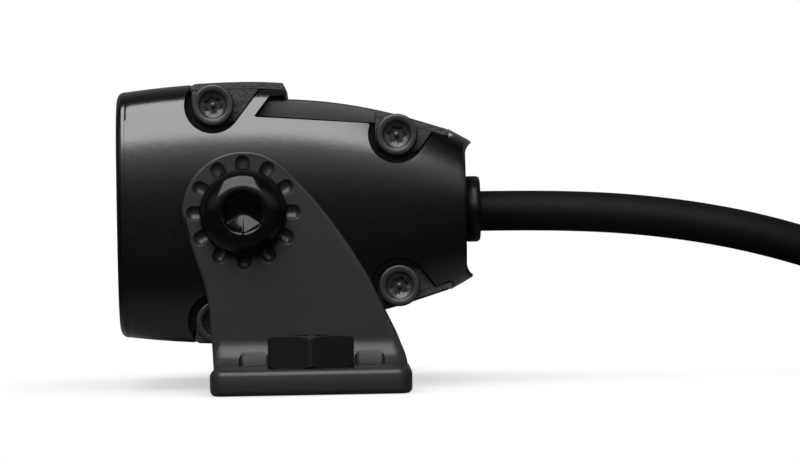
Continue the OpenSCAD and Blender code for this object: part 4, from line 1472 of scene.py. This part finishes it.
@dataclass
class LeadGland:
    """Collar that the lead comes out of, with a groove at its foot and a soft outer edge."""

    radius: float = 5.75
    foot: float = 37.3
    back: float = 40.5
    hole_r: float = 3.5

    def build(self) -> None:
        """Makes the collar as a turned ring along Y."""
        r, foot, back = self.radius, self.foot, self.back
        hole = self.hole_r + 0.02
        profile = [(hole, foot - 3), (hole, back - 0.5), (3.75, back - 0.35), (3.95, back - 0.08),
                   (4.2, back), (r - 0.75, back), (r - 0.35, back - 0.1),
                   (r - 0.1, back - 0.35), (r, back - 0.75), (r, foot + 0.95), (r - 0.08, foot + 0.82),
                   (r - 0.4, foot + 0.75), (r - 0.45, foot + 0.6), (r - 0.45, foot + 0.35),
                   (r - 0.1, foot + 0.25), (r - 0.1, foot - 0.1), (r - 0.9, foot - 0.1),
                   (r - 0.9, foot - 3)]
        ring = turned_to_y(revolved(profile, 96, looped=True))
        head_piece("lead_gland", outward(ring), SATIN_PLASTIC, "gland_body")


# ---------------------------------------------------------------- brackets

@dataclass
class Bracket:
    """Arm and foot of one side: a fluted arm head on a leg that widens to the foot."""

    inner_x: float = 34.1
    outer_x: float = 37.1
    head_r: float = 10.25
    bore_r: float = 4.05
    edge: float = 0.42
    foot_t: float = 4.15
    foot_l: float = 32.7
    foot_front: float = 5.4
    foot_out: float = 59.1
    foot_corner_r: float = 2.4
    foot_edge: float = 0.95
    fillet_r: float = 4.3
    flutes: int = 12
    flute_r: float = 1.35
    flute_deep: float = 0.75
    flute_reach: float = 9.66
    fillet_end: float = 0.35
    hole_x: float = 41.1
    hole_y: float = 9.6
    hole_r: float = 1.8
    notch_half: float = 2.5
    notch_back: float = 37.65
    nut_x: float = 49.1
    nut_pass_r: float = 4.3
    columns: int = 720

    def leg(self) -> Array:
        """Leg's outline below the arm head, measured from the tilt axis.

        Returns:
            (Y, Z) points, from the arm head down its front, along the foot and up its back.
        """
        back, low = self.foot_l - self.foot_front, 0.05 - TILT_AXIS[2]
        shelf = self.foot_t + 1 - TILT_AXIS[2]
        return np.array([
            [-self.head_r, 0], [-9.5, -3.1], [-8.5, -6.6], [-7.5, -9.4], [-6.8, -11.6],
            [-6.1, -15], [-5.8, -19], [-self.foot_front, shelf], [-self.foot_front, low],
            [back - 0.4, low], [back - 0.4, shelf], [23, -16.3], [20.8, -11.2], [18, -6.5],
            [14.8, -1.7], [11.7, 2.3]])

    def reach(self, angle: Array) -> Array:
        """Distance from the tilt axis to the arm's outline in each direction.

        Args:
            angle: Directions, counter-clockwise from +Y.

        Returns:
            The outline's radius, read between its points and softened over a degree or two.
        """
        top = arc((0, 0), self.head_r, 40, 180, 80)
        outline = even(np.vstack([top, self.leg()[1:]]), 0.1)
        bearing = np.arctan2(outline[:, 1], outline[:, 0])
        order = np.argsort(bearing)
        r = np.interp(angle, bearing[order], np.hypot(*outline.T)[order], period=FULL_TURN)
        for _ in range(3):
            r = sum(np.roll(r, k) for k in (2, 1, 0, -1, -2)) / 5
        return r

    def flute_depth(self, radius: Array, angle: Array) -> Array:
        """Depth of the grooves at a place on the arm's face.

        Args:
            radius: Distance from the tilt axis.
            angle: Direction from it.

        Returns:
            sqrt(r^2 - u^2) less the axis's height over the face, u being the distance to the
            nearest groove's round-ended axis.
        """
        pitch = FULL_TURN / self.flutes
        off = np.mod(angle - math.pi / 2 + pitch / 2, pitch) - pitch / 2
        beyond = np.maximum(radius * np.cos(off) - (self.flute_reach - self.flute_r), 0)
        u = np.hypot(radius * np.sin(off), beyond)
        lift = self.flute_r - self.flute_deep
        depth = np.sqrt(np.maximum(self.flute_r ** 2 - u ** 2, 0)) - lift
        return np.maximum(depth, 0) * (radius > 5)

    def arm(self) -> Shell:
        """The arm as one ring-shaped surface: face, edge, side, inner face and bore.

        Returns:
            Rings round the tilt axis, each a share of the outline's radius in every direction.
        """
        a = ring_angles(self.columns)
        r = self.reach(a)
        slope = (np.roll(r, -1) - np.roll(r, 1)) / (2 * FULL_TURN / self.columns)
        inset = np.sqrt(r * r + slope * slope) / r
        near = np.append(np.linspace(self.bore_r, 9.7, 60), 9.76)[:, None] + 0 * a
        rim = r - self.edge * np.minimum(inset, 1.6)
        share = np.linspace(0, 1, 12)[1:-1, None]
        far = near[-1] + (rim - near[-1]) * share
        face = np.vstack([near, far])
        face_x = self.outer_x - self.flute_depth(face, a)
        drawn, along = rounded_end(self.edge, 6)
        edge = r - (drawn[::-1, None]) * np.minimum(inset, 1.6)
        edge_x = self.outer_x - self.edge + along[::-1, None] + 0 * a
        side = np.stack([r, r - 0.25 * np.minimum(inset, 1.6), rim])
        side_x = np.array([self.inner_x + 0.25, self.inner_x, self.inner_x])[:, None] + 0 * a
        inner = self.bore_r + 0 * a[None]
        radii = np.vstack([face, edge, side, inner])
        xs = np.vstack([face_x, edge_x, side_x, self.inner_x + 0 * a[None]])
        return moved(turned_to_x(loft(polar(radii, xs, a), looped=True)), TILT_AXIS)

    def foot(self) -> Shell:
        """The flat foot, with round outer corners.

        Returns:
            A plate from the mounting plane up to its thickness.
        """
        y0 = TILT_AXIS[1] - self.foot_front
        y1 = y0 + self.foot_l
        r, out = self.foot_corner_r, self.foot_out
        outline = np.vstack([
            [[self.inner_x, y0]], arc((out - r, y0 + r), r, -90, 0, 14),
            arc((out - r, y1 - r), r, 0, 90, 14), [[self.inner_x, y1]]])
        return rounded_prism(even(outline, 1.5), 0, self.foot_t, self.foot_edge, 5)

    def fillet(self) -> Shell:
        """Hollow corner between arm and foot, ending where the arm's edges are.

        Returns:
            A quarter circle's hollow, carried along Y and drawn in at both ends.
        """
        a = np.linspace(0, math.pi / 2, 22)
        cx, cz = self.outer_x + self.fillet_r, self.foot_t + self.fillet_r
        x = np.concatenate([cx - self.fillet_r * np.cos(a), [cx, self.outer_x - 1, self.outer_x - 1]])
        z = np.concatenate([cz - self.fillet_r * np.sin(a), [1, 1, cz]])
        back = np.interp(z, [self.foot_t + 1, self.foot_t + 10.1],
                         [self.foot_l - self.foot_front - 0.4, 23.4])
        y0 = TILT_AXIS[1] - self.foot_front + 0.3
        y1 = TILT_AXIS[1] + back - self.fillet_end
        share = np.linspace(0, 1, 34)[:, None]
        from_end = np.clip(60 * np.minimum(share, 1 - share), 0, 1)
        drop = self.fillet_end * (1 - np.sqrt(1 - (1 - from_end) ** 2))
        y = y0 + (y1 - y0) * share
        return capped(np.stack([x - drop, y, z - drop], axis=-1))

    def notch(self, y: float) -> Shell:
        """Room for a screw's head: a box with round upright edges that bites into the fillet.

        Args:
            y: Its middle.

        Returns:
            The box, from its back wall out past the fillet.
        """
        r, half, back, far = 0.9, self.notch_half, self.notch_back, self.foot_out
        outline = np.vstack([
            [[far, y - half], [far, y + half]], arc((back + r, y + half - r), r, 90, 180, 10),
            arc((back + r, y - half + r), r, 180, 270, 10)])
        return rounded_prism(even(outline, 1.5), self.foot_t - 0.4, 14, 0.3)

    def build(self) -> None:
        """Makes both brackets, with the foot's holes and the fillet's notches cut."""
        material = BRACKET_COAT.material()
        foot = make_object("foot", outward(self.foot()), material)
        holes = [cylinder((self.hole_x, sy * self.hole_y), self.hole_r, -1, 8) for sy in (-1, 1)]
        holes.append(cylinder((self.nut_x, 0), self.nut_pass_r, -1, 8))
        cut(foot, holes)
        fillet = make_object("fillet", outward(self.fillet()), material)
        cut(fillet, [self.notch(-self.hole_y), self.notch(self.hole_y)], 40)
        for side, node in ((Side.LEFT, "bracket_left"), (Side.RIGHT, "bracket_right")):
            arm = outward(self.arm())
            parts = [make_object(node + "_shape", arm, material, 40)]
            for part in (foot, fillet):
                copy = part.copy()
                copy.data = part.data.copy()
                bpy.context.scene.collection.objects.link(copy)
                parts.append(copy)
            with bpy.context.temp_override(active_object=parts[0], selected_editable_objects=parts):
                bpy.ops.object.join()
            piece = parts[0]
            if side is Side.RIGHT:
                piece.data.transform(Matrix.Scale(-1, 4, (1, 0, 0)))
                piece.data.flip_normals()
            settle(piece, Body.BRACKETS, node)
        for part in (foot, fillet):
            bpy.data.objects.remove(part)


@dataclass
class FootNuts:
    """Hexagon nuts on the feet, chamfered at both ends, with a thread inside."""

    x: float = 49.1
    base_z: float = 4.15
    height: float = 5.2
    flats: float = 14.0
    thread_r: float = 3.4
    thread_deep: float = 0.35
    pitch: float = 1.25

    def one(self) -> Shell:
        """The +X nut: thread, top face, cone-cut hexagon and underside.

        Returns:
            Rings round its axis; the thread's radius is a triangle wave of height and angle, and
            the hexagon's the lesser of its own and the chamfer cone's.
        """
        a = ring_angles(240)
        hexed = hexagon(a, self.flats, 70)
        up = np.linspace(0, self.height, 32)
        wave = np.mod(up[:, None] / self.pitch - a / FULL_TURN, 1)
        thread = self.thread_r + self.thread_deep * (1 - np.abs(2 * wave - 1))
        cone = np.linspace(0, 1, 7)
        cap_r = self.flats / 2 + 0.35 + 0.8 * cone
        down = self.height - 0.4 * cone
        outer_top = np.minimum(hexed, cap_r[:, None])
        inset = outer_top[0] - 0.12
        radii = np.vstack([
            thread, [self.thread_r + 0.55 + 0 * a], [0.5 * (inset + self.thread_r)], [inset],
            outer_top, [hexed], outer_top[::-1], [inset]])
        heights = np.concatenate([
            up, [self.height, self.height, self.height], down, [self.height / 2],
            self.height - down[::-1], [0.0]])
        nut = loft(polar(radii, heights, a), looped=True)
        return moved(nut, (self.x, 0, self.base_z))

    def build(self) -> None:
        """Makes both nuts as one piece."""
        nut = outward(self.one())
        piece = make_object("foot_nuts", joined([nut, mirrored(nut)]), NUT_COAT.material(), 30)
        settle(piece, Body.BRACKETS, "weld_nuts")


# ---------------------------------------------------------------- lead

@dataclass
class Lead:
    """The lead: from the gland to the surface, its coil and out to the connector."""

    radius: float = 3.5
    gland_back: float = 40.5
    coil_centre: tuple[float, float] = (11.0, 160.0)
    coil_r: float = 35.0
    coil_lift: float = 0.6
    coil_points: int = 48
    coil_deg: float = 600.0
    climb: tuple[float, float] = (245.0, 325.0)
    ring_gap: float = 1.5
    softenings: int = 24
    sides: int = 28
    blend_end: float = 120.0

    def down(self) -> Array:
        """Free stretch from the gland to the start of the coil.

        Returns:
            Points that the lead passes.
        """
        z = TILT_AXIS[2] - 0.4
        return np.array([
            [0, TILT_AXIS[1] + self.gland_back, z], [0, 36, z], [0, 44, 29], [0, 52, 28.6],
            [0, 60, 27.8], [0, 68, 26.6], [0, 76, 25], [-0.3, 84, 22.8], [-1.4, 92, 20.2],
            [-3.9, 100, 17.2], [-7.4, 108, 13.9], [-11.4, 116, 10.6], [-15.6, 124, 7.6],
            [-19.4, 132, 5.6], [-22.3, 140, 4.5], [-24, 148, 4.15], [-24.4, 154, 4.1]])

    def coil(self) -> Array:
        """Two turns less a third, clockwise from above: the second lies on the first.

        Returns:
            Points on the circle, whose height climbs one diameter before the first turn closes.
        """
        turned = np.arange(0, self.coil_deg, 360 / self.coil_points)
        a = np.radians(180 - turned)
        low = self.coil_lift + self.radius
        z = low + 2 * self.radius * ease(turned, *self.climb)
        return np.stack([self.coil_centre[0] + self.coil_r * np.cos(a),
                         self.coil_centre[1] + self.coil_r * np.sin(a), z], axis=-1)

    def out(self) -> Array:
        """Last stretch: over the incoming one in a low hump and down to the connector.

        Returns:
            Points that the lead passes, the first of them where the coil ends.
        """
        a = math.radians(300)
        first = [self.coil_centre[0] + self.coil_r * math.cos(a),
                 self.coil_centre[1] + self.coil_r * math.sin(a), self.coil_lift + 3 * self.radius]
        return np.array([
            first, [20.2, 125.7, 11.8], [11, 123.2, 12.9], [2.4, 122.7, 13.8], [-5.8, 124, 14.4],
            [-13.6, 127.4, 14.6], [-19.9, 132.2, 14], [-25.2, 138.3, 12.6], [-28.8, 145.5, 10.9],
            [-31, 153.4, 9.4], [-32, 161, 8.5], [-32.6, 168, 8.1], [-33, 175, 8]])

    def centreline(self, route: Array) -> Array:
        """The route as evenly spaced points, each then pulled to the mean of its neighbours.

        Args:
            route: Points that the lead passes.

        Returns:
            Points ring_gap apart; each softening takes (p0 + 2 p1 + p2) / 4.
        """
        curve = smooth_route(route, 8)
        along = np.concatenate([[0], np.cumsum(np.linalg.norm(np.diff(curve, axis=0), axis=1))])
        spots = np.linspace(0, along[-1], round(along[-1] / self.ring_gap) + 1)
        line = np.stack([np.interp(spots, along, axis) for axis in curve.T], axis=-1)
        for _ in range(self.softenings):
            line[1:-1] = (line[:-2] + 2 * line[1:-1] + line[2:]) / 4
        return line

    def build(self, connector: list[bpy.types.Object]) -> None:
        """Args:
            connector: The pieces on its far end. Not used.
        """
        route = np.vstack([self.down(), self.coil(), self.out()])
        line = self.centreline(route)
        ahead = np.gradient(line, axis=0)
        ahead /= np.linalg.norm(ahead, axis=1)[:, None]
        across = np.cross(ahead, [0, 0, 1])
        across /= np.linalg.norm(across, axis=1)[:, None]
        above = np.cross(across, ahead)
        a = ring_angles(self.sides)[None, :, None]
        ring = np.cos(a) * across[:, None] + np.sin(a) * above[:, None]
        rings = line[:, None] + self.radius * ring
        tube = outward(loft(rings, line[0], line[-1]))
        piece = make_object("lead", tube, CABLE_JACKET.material(), 60)
        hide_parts("cable", "cable_coil", "cable_end")
        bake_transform(piece)


# ---------------------------------------------------------------- carried-over nodes

CAD_FINISHES: dict[str, Finish | ClearFinish | BoardFinish] = {
    "bezel_screws": PLAIN_STEEL, "front_glass": WINDOW, "glass_gasket": RUBBER,
    "led_board": BOARD, "infrared_lamps": LAMP_RESIN, "light_sensor": LAMP_RESIN,
    "lens_barrel": MOULDED, "lens_elements": LENS, "lens_holder": MOULDED,
    "image_sensor": SENSOR, "main_board": BOARD, "board_chips": MOULDED,
    "board_standoffs": BRASS, "board_screws": PLAIN_STEEL, "board_socket": WHITE_PLASTIC,
    "inner_leads": LEAD_INSULATION, "gland_locknut": PLAIN_STEEL, "gland_seal": RUBBER,
    "pivot_inserts": PLAIN_STEEL, "friction_washers": WHITE_PLASTIC, "coil_tie": MOULDED,
    "plug_boot": RUBBER, "plug_body": SATIN_PLASTIC, "plug_ring": SATIN_PLASTIC,
    "plug_insert": MOULDED, "plug_pins": BRASS,
}


def dress_cad_nodes() -> None:
    """Gives each carried-over CAD node its finish, one material for each finish."""
    made: dict[str, bpy.types.Material] = {}
    for node, finish in CAD_FINISHES.items():
        if finish.name not in made:
            made[finish.name] = finish.material()
        piece = frame["nodes"][node]
        piece.data.materials.clear()
        piece.data.materials.append(made[finish.name])
        LOG.info("%s: %s", node, finish.name)


def main() -> None:
    """Builds the stage and every piece, in order."""
    logging.basicConfig(level=logging.INFO, format="%(name)s: %(message)s")
    Studio().build()
    form = HeadForm()
    pockets = Pockets()
    dress_cad_nodes()
    plug = [frame["nodes"][name] for name in
            ("coil_tie", "plug_boot", "plug_body", "plug_ring", "plug_insert", "plug_pins")]
    Lead().build(plug)
    HeadCasting(form, pockets).build()
    WindowBezel(form).build()
    GuardPlates(form, pockets).build()
    GuardScrews(pockets).build()
    TiltBolts().build()
    LeadGland().build()
    Bracket().build()
    FootNuts().build()


if __name__ == "__main__":
    main()
